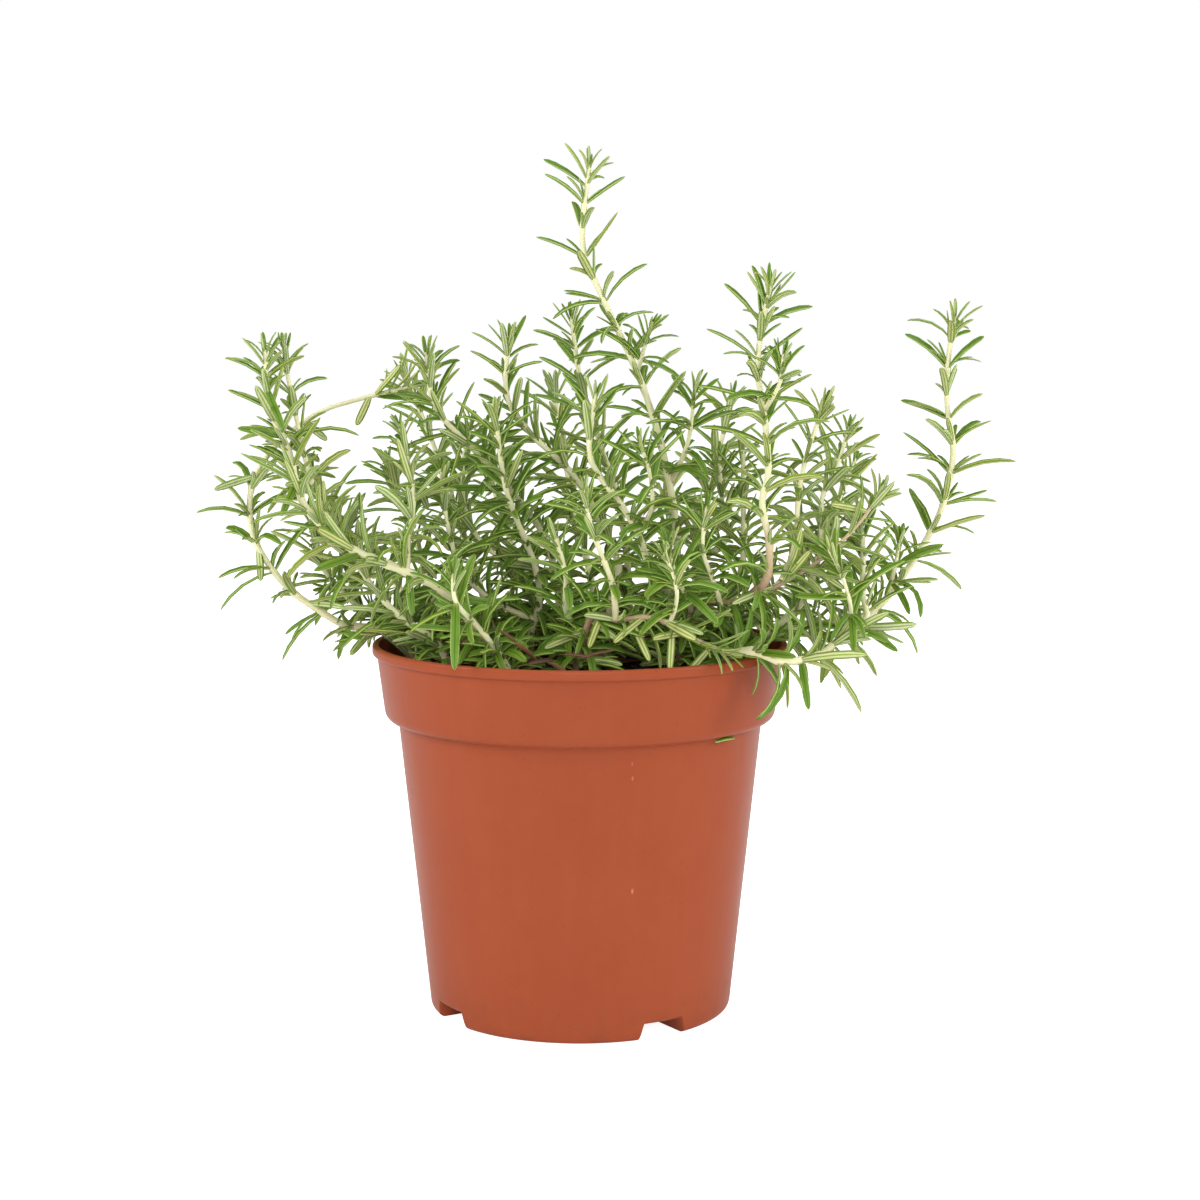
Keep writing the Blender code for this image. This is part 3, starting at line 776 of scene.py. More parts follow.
@dataclass
class Pot:
    """The moulded nursery pot, a turned shell with a deep band under its lip."""

    channels: Channels
    wall: float = 1.2 * MM
    drain: float = 6.5 * MM
    drain_place: float = 35.0 * MM
    outside: tuple = ((0.5, 0, 0), (47.75, 0, 2.6), (57.5, 92.8, 0.5), (61.5, 93.6, 3.4),
                      (64.1, 113.7, 0.25), (65.55, 113.9, 0.8), (65.5, 117.0, 0.9),
                      (63.5, 117.0, 0.7), (60.6, 94.9, 2.6), (56.4, 93.6, 0.7),
                      (46.6, 1.2, 2.4), (0.5, 1.2, 0))

    def build(self, finish: bpy.types.Material) -> None:
        """Turn the shell, raise it over the channels and drill the drains."""
        profile = divided(rounded_profile(self.outside), 1.0 * MM, 4.5 * MM, 15.0 * MM)
        grid = turned(profile, self.channels.bearings_of(profile[:, 0]))
        lip = int(np.argmax(profile[:, 1]))
        under = self.channels.shaped(grid[:lip], 0.0, 0.0)
        inside = self.channels.shaped(grid[lip:], self.wall, self.wall)
        rings = np.concatenate([under, inside])[None]
        pot = place_piece("plant_pot", swept(rings, np.linspace(0.0, 1.0, len(profile))),
                          finish, ("pot",))
        self._drill(pot)
        pot.data.set_sharp_from_angle(angle=math.radians(44))

    def _drill(self, pot: bpy.types.Object) -> None:
        """Cut a round drain through the roof of each channel."""
        turn = np.linspace(0.0, 2 * math.pi, 28, endpoint=False)
        ring = np.stack([np.cos(turn), np.sin(turn), np.zeros(28)], -1) * self.drain / 2
        parts = []
        for bearing in np.radians(self.channels.bearings):
            centre = np.array([math.sin(bearing), -math.cos(bearing), 0.0]) * self.drain_place
            heights = np.array([[0.0, 0.0, 0.003], [0.0, 0.0, 0.009]])[:, None]
            parts.append(swept((ring[None] + centre + heights)[None], np.array([0.0, 1.0])))
        cutter = bpy.data.objects.new("drill", Surface.joined(parts).mesh("drill"))
        bpy.context.scene.collection.objects.link(cutter)
        cut = pot.modifiers.new("drains", "BOOLEAN")
        cut.operation, cut.solver, cut.object = "DIFFERENCE", "EXACT", cutter
        bpy.context.view_layer.update()
        seen = pot.evaluated_get(bpy.context.evaluated_depsgraph_get())
        drilled = bpy.data.meshes.new_from_object(seen)
        pot.modifiers.clear()
        pot.data = drilled
        bpy.data.objects.remove(cutter)


@dataclass
class SoilBed:
    """The soil that fills the pot, crumbly on top, with loose lumps."""

    channels: Channels
    gap: float = 1.6 * MM          # wall of the pot and clearance, over the channels
    crumbs: int = 1500
    body: tuple = ((0.5, 1.6, 0), (46.2, 1.6, 2.4), (56.0, 93.9, 0.6), (60.0, 95.2, 2.4),
                   (61.5, 106.6, 0.9), (55.0, 107.2, 2.0), (30.0, 108.6, 3.0), (0.5, 109.2, 0))

    def height(self, x: Array, y: Array) -> Array:
        """How far the crumbly top stands off the smooth mound: three sizes of bumps."""
        return (lattice_noise(x, y, 0.013, 3) * 0.9 + lattice_noise(x, y, 0.0042, 4) * 0.55
                + lattice_noise(x, y, 0.0016, 5) * 0.32) * MM

    def mound(self, radius: Array) -> Array:
        """Height of the smooth top at a radius, falling gently to the wall."""
        return np.interp(radius, [0.0, 0.030, 0.055, 0.0615], [0.1092, 0.1086, 0.1072, 0.1066])

    def build(self, finish: bpy.types.Material, lump_finish: bpy.types.Material) -> None:
        """Make the bed and its lumps.

        Args:
            finish: The bed's soil.
            lump_finish: The lumps' soil, tinted lump by lump.
        """
        profile = divided(rounded_profile(self.body), 3.0 * MM, 1.1 * MM, 20.0 * MM)
        grid = turned(profile, self.channels.bearings_of(profile[:, 0]))
        grid = self.channels.shaped(grid, self.gap, self.gap)
        radius = np.hypot(grid[..., 0], grid[..., 1])
        top = np.arange(len(profile))[:, None] >= int(np.argmax(profile[:, 0]))
        ease = (1.0 - smoothstep(0.0590, 0.0612, radius)) * top
        grid[..., 2] += self.height(grid[..., 0], grid[..., 1]) * ease
        place_piece("soil_bed", swept(grid[None], np.linspace(0.0, 1.0, len(profile))),
                    finish, ("potting_soil",))
        place_piece("soil_crumbs", self._lumps(), lump_finish, ("potting_soil",))

    def _lumps(self) -> Surface:
        """Loose lumps: twenty-sided solids, each squashed, turned and dented its own way."""
        rng = np.random.default_rng(21)
        golden = (1 + 5 ** 0.5) / 2
        near = np.array([(0, s, t * golden) for s in (-1, 1) for t in (-1, 1)], dtype=float)
        corners = unit(np.concatenate([np.roll(near, k, axis=1) for k in range(3)]))
        sides = [(i, j, k) for i in range(12) for j in range(i + 1, 12) for k in range(j + 1, 12)
                 if max(np.linalg.norm(corners[i] - corners[j]),
                        np.linalg.norm(corners[j] - corners[k]),
                        np.linalg.norm(corners[i] - corners[k])) < 1.1]
        outward = [(i, j, k) if np.linalg.det(corners[[i, j, k]]) > 0 else (i, k, j)
                   for i, j, k in sides]
        count = self.crumbs
        radius = SOIL_EDGE * np.sqrt(rng.uniform(0.0, 1.0, count))
        bearing = rng.uniform(0.0, 2 * math.pi, count)
        x, y = radius * np.cos(bearing), radius * np.sin(bearing)
        size = np.clip(rng.lognormal(-7.2, 0.42, count), 0.00035, 0.0017)
        size = np.minimum(size, 0.0615 - radius)
        shape = corners[None] * rng.uniform(0.72, 1.2, (count, 12, 1))
        shape = shape * rng.uniform(0.55, 1.35, (count, 1, 3)) * size[:, None, None]
        spin = rng.uniform(0.0, 2 * math.pi, count)
        c, s = np.cos(spin)[:, None], np.sin(spin)[:, None]
        shape = np.stack([shape[..., 0] * c - shape[..., 1] * s,
                          shape[..., 0] * s + shape[..., 1] * c, shape[..., 2] * 0.8], -1)
        height = self.mound(radius) + self.height(x, y) * 0.8 + size * 0.25
        centre = np.stack([x, y, height], -1)
        points = (centre[:, None] + shape).reshape(-1, 3)
        faces = (np.arange(count)[:, None, None] * 12 + np.array(outward)[None]).reshape(-1, 3)
        tint = np.repeat(rng.uniform(0.0, 1.0, count) ** 1.6, 12)
        return Surface(points, [faces], [np.zeros((len(faces), 3, 2))], {"tint": tint})


# leaves and shoots -------------------------------------------------------------------
LEAF_STATIONS = np.array([0.0, 0.07, 0.24, 0.50, 0.76, 0.93, 1.0])
LEAF_BREADTH = np.array([0.42, 0.72, 0.94, 1.0, 0.95, 0.66, 0.20])
# (across, up) of the eight corners of a leaf's section, in half breadths: from the groove
# along the upper side to one rolled edge, over the felted underside and its midrib, back
LEAF_SECTION = np.array([(0.0, 0.24), (0.56, 0.44), (1.0, 0.06), (0.66, -0.38),
                         (0.0, -0.22), (-0.66, -0.38), (-1.0, 0.06), (-0.56, 0.44)])
FIELDS = ("root", "along", "out", "length", "breadth", "lean", "curl", "sag", "twist",
          "age", "tint")


@dataclass
class Leaves:
    """Many leaves at once, one row of every array for each leaf.

    root is where it leaves the stem, along the stem's direction there and out the side
    it grows to.  lean is its angle from the stem, curl how much further it leans by its
    tip, sag how far it falls and twist how far it turns about itself, in radians.
    """

    root: Array
    along: Array
    out: Array
    length: Array
    breadth: Array
    lean: Array
    curl: Array
    sag: Array
    twist: Array
    age: Array
    tint: Array

    @staticmethod
    def joined(parts: "list[Leaves]") -> "Leaves":
        """All the leaves of several sets."""
        return Leaves(*(np.concatenate([getattr(part, name) for part in parts])
                        for name in FIELDS))

    def chosen(self, keep: Array) -> "Leaves":
        """The leaves where keep is true."""
        return Leaves(*(getattr(self, name)[keep] for name in FIELDS))

    def spines(self) -> tuple[Array, Array]:
        """Middle lines: the heading turns from lean to lean + curl and sinks with the sag.

        Returns:
            (leaves, rings, 3) points and headings.
        """
        v = LEAF_STATIONS[None]
        angle = self.lean[:, None] + self.curl[:, None] * v
        heading = (self.along[:, None] * np.cos(angle)[..., None]
                   + self.out[:, None] * np.sin(angle)[..., None])
        heading[..., 2] -= self.sag[:, None] * v
        heading = unit(heading)
        step = (heading[:, 1:] + heading[:, :-1]) / 2 * np.diff(LEAF_STATIONS)[None, :, None]
        run = np.concatenate([np.zeros_like(heading[:, :1]), np.cumsum(step, axis=1)], axis=1)
        return self.root[:, None] + run * self.length[:, None, None], heading

    def surface(self) -> Surface:
        """The leaves' shapes: the section carried along each spine, narrowed at both ends."""
        spine, heading = self.spines()
        angle = (self.lean[:, None] + self.curl[:, None] * LEAF_STATIONS[None])[..., None]
        face = self.along[:, None] * np.sin(angle) - self.out[:, None] * np.cos(angle)
        side = unit(np.cross(heading, face))
        face = np.cross(side, heading)
        turn = (self.twist[:, None] * (0.25 + LEAF_STATIONS[None]))[..., None]
        side, face = (side * np.cos(turn) + face * np.sin(turn),
                      face * np.cos(turn) - side * np.sin(turn))
        half = (self.breadth[:, None] / 2 * LEAF_BREADTH[None])[..., None, None]
        rings = (spine[:, :, None]
                 + side[:, :, None] * half * LEAF_SECTION[None, None, :, :1]
                 + face[:, :, None] * half * LEAF_SECTION[None, None, :, 1:])
        made = swept(rings, LEAF_STATIONS)
        each = len(LEAF_STATIONS) * len(LEAF_SECTION)
        made.marks = {"age": np.repeat(self.age, each), "tint": np.repeat(self.tint, each)}
        return made

    def clear_of_pot(self) -> Array:
        """True for leaves whose spine keeps out of the soil, the lip and the wall."""
        spine = self.spines()[0]
        rho, z = np.hypot(spine[..., 0], spine[..., 1]), spine[..., 2]
        buried = (rho < SOIL_EDGE) & (z < SOIL_CLEAR)
        at_lip = (rho > LIP_INSIDE) & (rho < LIP_OUTSIDE) & (z < LIP_CLEAR)
        in_wall = (rho < LIP_OUTSIDE) & (z < BAND_FOOT)
        return ~(buried | at_lip | in_wall).any(axis=1)


FACING = {Side.AWAY: (0.0, 1.0, 0.15), Side.TOWARD: (0.0, -1.0, 0.30),
          Side.OUT: (1.0, -0.8, 0.35)}


def bowed(start: Array, end: Array, side: Side, bow: Array, breadth: float,
          tint: Array) -> Leaves:
    """Leaves between two points each, bowed evenly from end to end.

    Args:
        start: (leaves, 3) where they start.
        end: (leaves, 3) where their tips are.
        side: Where their upper sides look.
        bow: How far each half turns away from the upper side, in radians.
        breadth: Their breadth.
        tint: Their own tints, 0 to 1.

    Returns:
        The leaves.
    """
    out = unit(end - start)
    face = np.array(FACING[side])
    face = unit(face - out * (out @ face)[:, None])
    length = np.linalg.norm(end - start, axis=1) * bow / np.sin(bow)
    same = np.ones(len(start))
    return Leaves(start, face, out, length, breadth * same, math.pi / 2 - bow, 2.0 * bow,
                  0.0 * same, 0.0 * same, 0.55 * same, tint)


def kept_clear(leaves: Leaves) -> Leaves:
    """The leaves, those that met the pot stood up step by step, and dropped if need be.

    Args:
        leaves: The leaves as they would grow.

    Returns:
        The leaves that keep clear.
    """
    for _ in range(5):
        bad = ~leaves.clear_of_pot()
        leaves.lean = np.where(bad, leaves.lean * 0.72, leaves.lean)
        leaves.curl = np.where(bad, leaves.curl * 0.5, leaves.curl)
        leaves.sag = np.where(bad, leaves.sag - 0.16, leaves.sag)
    return leaves.chosen(leaves.clear_of_pot())


@dataclass
class Shoot:
    """One stem with its leaves, as it grew."""

    name: str
    foot: float               # radii, mm
    tip: float
    bare: float               # length without leaves, mm
    points: tuple             # mm
    habit: Habit = Habit.BUSHY
    seed: int = 0

    def __post_init__(self) -> None:
        """Work out the centre line and the frame that turns least along it."""
        self.line = smooth_line(self.points)
        self.along = lengths_along(self.line)
        self.length = float(self.along[-1])
        self.rng = np.random.default_rng(1000 + self.seed)
        ahead = unit(np.gradient(self.line, axis=0))
        choices = np.array([(1.0, 0.0, 0.0), (0.0, 1.0, 0.0), (0.7, 0.7, 0.14),
                            (0.7, -0.7, 0.14)])
        self.across = choices[int(np.argmin(np.abs(ahead @ choices.T).max(axis=0)))]

    def at(self, stops: Array) -> tuple[Array, Array, Array, Array]:
        """Where the stem is at each distance, with its direction and two sides.

        Args:
            stops: Distances from the foot.

        Returns:
            Places, directions, and two directions square to them, each (stops, 3).
        """
        def place(where: Array) -> Array:
            """The point of the centre line at each distance."""
            return np.stack([np.interp(where, self.along, self.line[:, k]) for k in range(3)],
                            -1)
        ahead = unit(place(stops + 0.0012) - place(stops - 0.0012))
        first = unit(np.cross(ahead, self.across))
        return place(stops), ahead, first, np.cross(ahead, first)

    def woodiness(self, stops: Array) -> Array:
        """0 on green growth to 1 on old bark: falls with distance from the foot."""
        share = stops / self.length
        foot, tip, end = {Habit.WOODY: (0.90, 0.40, 0.80), Habit.BUSHY: (0.62, 0.0, 0.38),
                          Habit.OPEN: (0.66, 0.02, 0.36), Habit.SPUR: (0.14, 0.0, 0.5)}[self.habit]
        return foot + (tip - foot) * smoothstep(0.0, end, share)

    def radius(self, stops: Array) -> Array:
        """The stem's radius at each distance: quick to thin at the foot, slow above."""
        share = np.clip(stops / self.length, 0.0, 1.0)
        slim = SLIM.get(self.name, 0.86)
        return (self.foot + (self.tip - self.foot) * share ** 0.6) * slim * MM

    def nodes(self) -> Array:
        """Distances of the leaf pairs: wide apart low down, closer and closer to the tip."""
        spacing = {Habit.OPEN: 11.0, Habit.WOODY: 8.0}.get(self.habit, 7.8) * MM
        spacing *= CROWDED.get(self.name, 1.0)
        stops, here = [], self.bare * BARE_SHARE * MM + 0.002
        low, high = SPARSE.get(self.name, (2.0, 2.0))
        while here < self.length - 0.006:
            if not low < here / self.length < high:
                stops.append(here)
            share = here / self.length
            here += spacing * (1.0 - 0.42 * share ** 2) * self.rng.uniform(0.85, 1.15)
        return np.array(stops)

    def stem(self) -> Surface:
        """The stem: a four-cornered rod that tapers and swells a little at its nodes."""
        stops = np.linspace(0.0, self.length, max(10, round(self.length / (1.1 * MM))))
        place, _, first, second = self.at(stops)
        radius = self.radius(stops)
        nodes = self.nodes_kept
        if len(nodes):
            away = np.abs(stops[:, None] - nodes[None]).min(axis=1)
            radius = radius * (1.0 + 0.20 * np.exp(-(away / (1.1 * MM)) ** 2))
        wood = self.woodiness(stops)
        turn = np.linspace(0.0, 2 * math.pi, 14, endpoint=False)
        lumps = lattice_noise(turn[None] * 0.9 + self.seed * 3.1,
                              stops[:, None] * 330 + np.zeros((1, 14)), 1.0, 8)
        knobs = lattice_noise(turn[None] * 0.35 + self.seed * 1.7,
                              stops[:, None] * 110 + np.zeros((1, 14)), 1.0, 9)
        swell = (1.0 + 0.05 * np.cos(4 * turn)[None] * (1 - wood[:, None])
                 + (0.16 * lumps + 0.16 * knobs) * np.clip(wood[:, None] * 1.3 - 0.15, 0, 1))
        close = np.minimum(1.0, (self.length - stops) / (0.7 * MM) + 0.25)
        reach = (radius * close)[:, None] * swell
        ring = (place[:, None] + first[:, None] * (reach * np.cos(turn)[None])[..., None]
                + second[:, None] * (reach * np.sin(turn)[None])[..., None])
        made = swept(ring[None], stops * 10)
        made.marks = {"wood": np.repeat(wood, 14)}
        return made

    def leaves(self) -> Leaves:
        """The shoot's leaves: crossed pairs, a tuft in each axil, and a tuft at the tip.

        Low pairs are long, spread wide and bow down; high ones are shorter and stand up.

        Returns:
            The leaves, clear of the pot.
        """
        rng, nodes = self.rng, self.nodes_kept
        sets = [self._tip_tuft()]
        if len(nodes):
            share = nodes / self.length
            turn = (self.seed * 0.7 + np.arange(len(nodes)) * (math.pi / 2 + 0.12)
                    + rng.normal(0.0, 0.12, len(nodes)))
            size = self._size_at(share)
            lean = np.radians(37.0 + 26.0 * (1.0 - share ** 1.5))
            for half in (0.0, math.pi):
                sets.append(self._spread(nodes, turn + half, size, lean, 1.0 - share, 1.0))
            for half in (0.0, math.pi):
                for k in range(3):
                    off = rng.uniform(0.25, 0.75, len(nodes)) * (-1) ** k
                    small = size * rng.uniform(0.38, 0.78, len(nodes))
                    some = (rng.uniform(0.0, 1.0, len(nodes))
                            < (0.95 if k < 2 else 0.6) * (1.0 - 0.45 * smoothstep(0.6, 0.9, share)))
                    up = nodes + rng.uniform(0.4, 1.6, len(nodes)) * MM
                    sets.append(self._spread(up, turn + half + off, small,
                                             lean * rng.uniform(0.55, 1.1, len(nodes)),
                                             0.7 - 0.6 * share, 0.82).chosen(some))
        if self.points[0][2] < SOIL_TOP:
            sets.append(self._basal_tuft())
        if self.name in HANGING:
            sets.append(self._hanging(*HANGING[self.name]))
        sets += [self._outside(*row[1:]) for row in OUTSIDE if row[0] == self.name]
        return kept_clear(Leaves.joined(sets))

    def _hanging(self, count: int, side: Side) -> Leaves:
        """Leaves that hang at the front of a bough, fanned by steps of the golden share.

        Args:
            count: How many.
            side: Where their upper sides look.

        Returns:
            The leaves.
        """
        start = self.at(self.length * np.linspace(0.20, 0.92, count))[0]
        fan = HANGING_FAN * (2.0 * ((np.arange(count) * GOLDEN_SHARE + 0.3) % 1.0) - 1.0)
        way = unit(np.stack([np.sin(fan), np.full(count, -0.60), -np.cos(fan)], -1))
        reach = self.rng.uniform(11.0, 16.5, (count, 1)) * MM
        return bowed(start, start + way * reach, side, self.rng.uniform(0.16, 0.36, count),
                     2.4 * MM, self.rng.uniform(0.0, 1.0, count))

    def _outside(self, bearing: float, radius: float, height: float, bow: float,
                 side: Side) -> Leaves:
        """One leaf that hangs down outside the pot, from where the stem is nearest above it."""
        turn = math.radians(bearing)
        tip = np.array([radius * math.sin(turn), -radius * math.cos(turn), height]) * MM
        above = tip + np.array([0.009 if side is Side.OUT else 0.0, 0.004, 0.015])
        root = self.line[np.linalg.norm(self.line - above, axis=1).argmin()]
        return bowed(root[None], tip[None], side, np.array([math.radians(bow)]), 2.8 * MM,
                     np.array([0.5]))

    def _basal_tuft(self) -> Leaves:
        """Old leaves that crowd the foot of a rooted stem and lie out over the soil."""
        rng, count = self.rng, 22
        above = float(np.interp(SOIL_TOP * MM, self.line[:, 2], self.along))
        stops = above + np.linspace(1.0, 17.0, count) * MM
        return self._spread(stops, np.arange(count) * 2.4 + self.seed,
                            rng.uniform(10.0, 17.0, count) * MM,
                            np.radians(rng.uniform(48.0, 82.0, count)),
                            np.full(count, 1.0), 1.0)

    def _size_at(self, share: Array) -> Array:
        """Leaf length by place on the shoot, in metres."""
        full = {Habit.OPEN: 20.0, Habit.WOODY: 17.0, Habit.SPUR: 16.5}.get(self.habit, 19.0)
        return full * MM * (0.86 + 0.20 * np.sin(math.pi * np.clip(share, 0, 1))
                            - 0.38 * np.clip(share - 0.55, 0, 1))

    def _spread(self, stops: Array, turn: Array, size: Array, lean: Array, age: Array,
                broad: float) -> Leaves:
        """Leaves at the given distances and bearings round the stem, each a little its own.

        Args:
            stops: Distance from the foot to each leaf.
            turn: Bearing of each leaf round the stem.
            size: Length of each leaf.
            lean: Angle from the stem.
            age: 0 for new growth to 1 for the oldest.
            broad: Share of the full breadth.

        Returns:
            The leaves.
        """
        rng, count = self.rng, len(stops)
        place, ahead, first, second = self.at(stops)
        out = first * np.cos(turn)[:, None] + second * np.sin(turn)[:, None]
        radius = self.radius(stops)
        age = np.clip(age + rng.normal(0.0, 0.10, count), 0.0, 1.0)
        length = size * rng.normal(1.0, 0.09, count)
        return Leaves(place + out * (radius * 0.55)[:, None], ahead, out, length,
                      np.clip(2.28 * MM * broad * rng.normal(1.0, 0.09, count), 0.0012, 0.0031)
                      * np.clip(length / 0.014, 0.66, 1.10),
                      lean + rng.normal(0.0, 0.13, count),
                      rng.normal(0.36, 0.30, count) + 0.72 * age,
                      rng.normal(0.0, 0.10, count) + 0.30 * age - 0.05,
                      rng.normal(0.0, 0.35, count), age, rng.uniform(0.0, 1.0, count))

    def _tip_tuft(self) -> Leaves:
        """Short leaves that stand round the growing tip."""
        rng, count = self.rng, 10
        stops = self.length - np.linspace(7.0, 0.3, count) * MM
        turn = np.arange(count) * 2.2 + rng.normal(0.0, 0.2, count)
        size = np.linspace(0.95, 0.34, count) * self._size_at(np.array([0.9]))[0]
        lean = np.radians(np.linspace(46.0, 6.0, count))
        return self._spread(stops, turn, size, lean, np.linspace(0.25, 0.0, count), 0.8)

    def build(self, bark: bpy.types.Material, leaf: bpy.types.Material) -> int:
        """Make the stem and its leaves as two pieces that stand for one node.

        Args:
            bark: The stem's finish.
            leaf: The leaves' finish.

        Returns:
            How many leaves there are.
        """
        self.nodes_kept = self.nodes()
        place_piece(self.name + "_stem", self.stem(), bark, (self.name,))
        leaves = self.leaves()
        place_piece(self.name + "_leaves", leaves.surface(), leaf, (self.name,))
        return len(leaves.root)


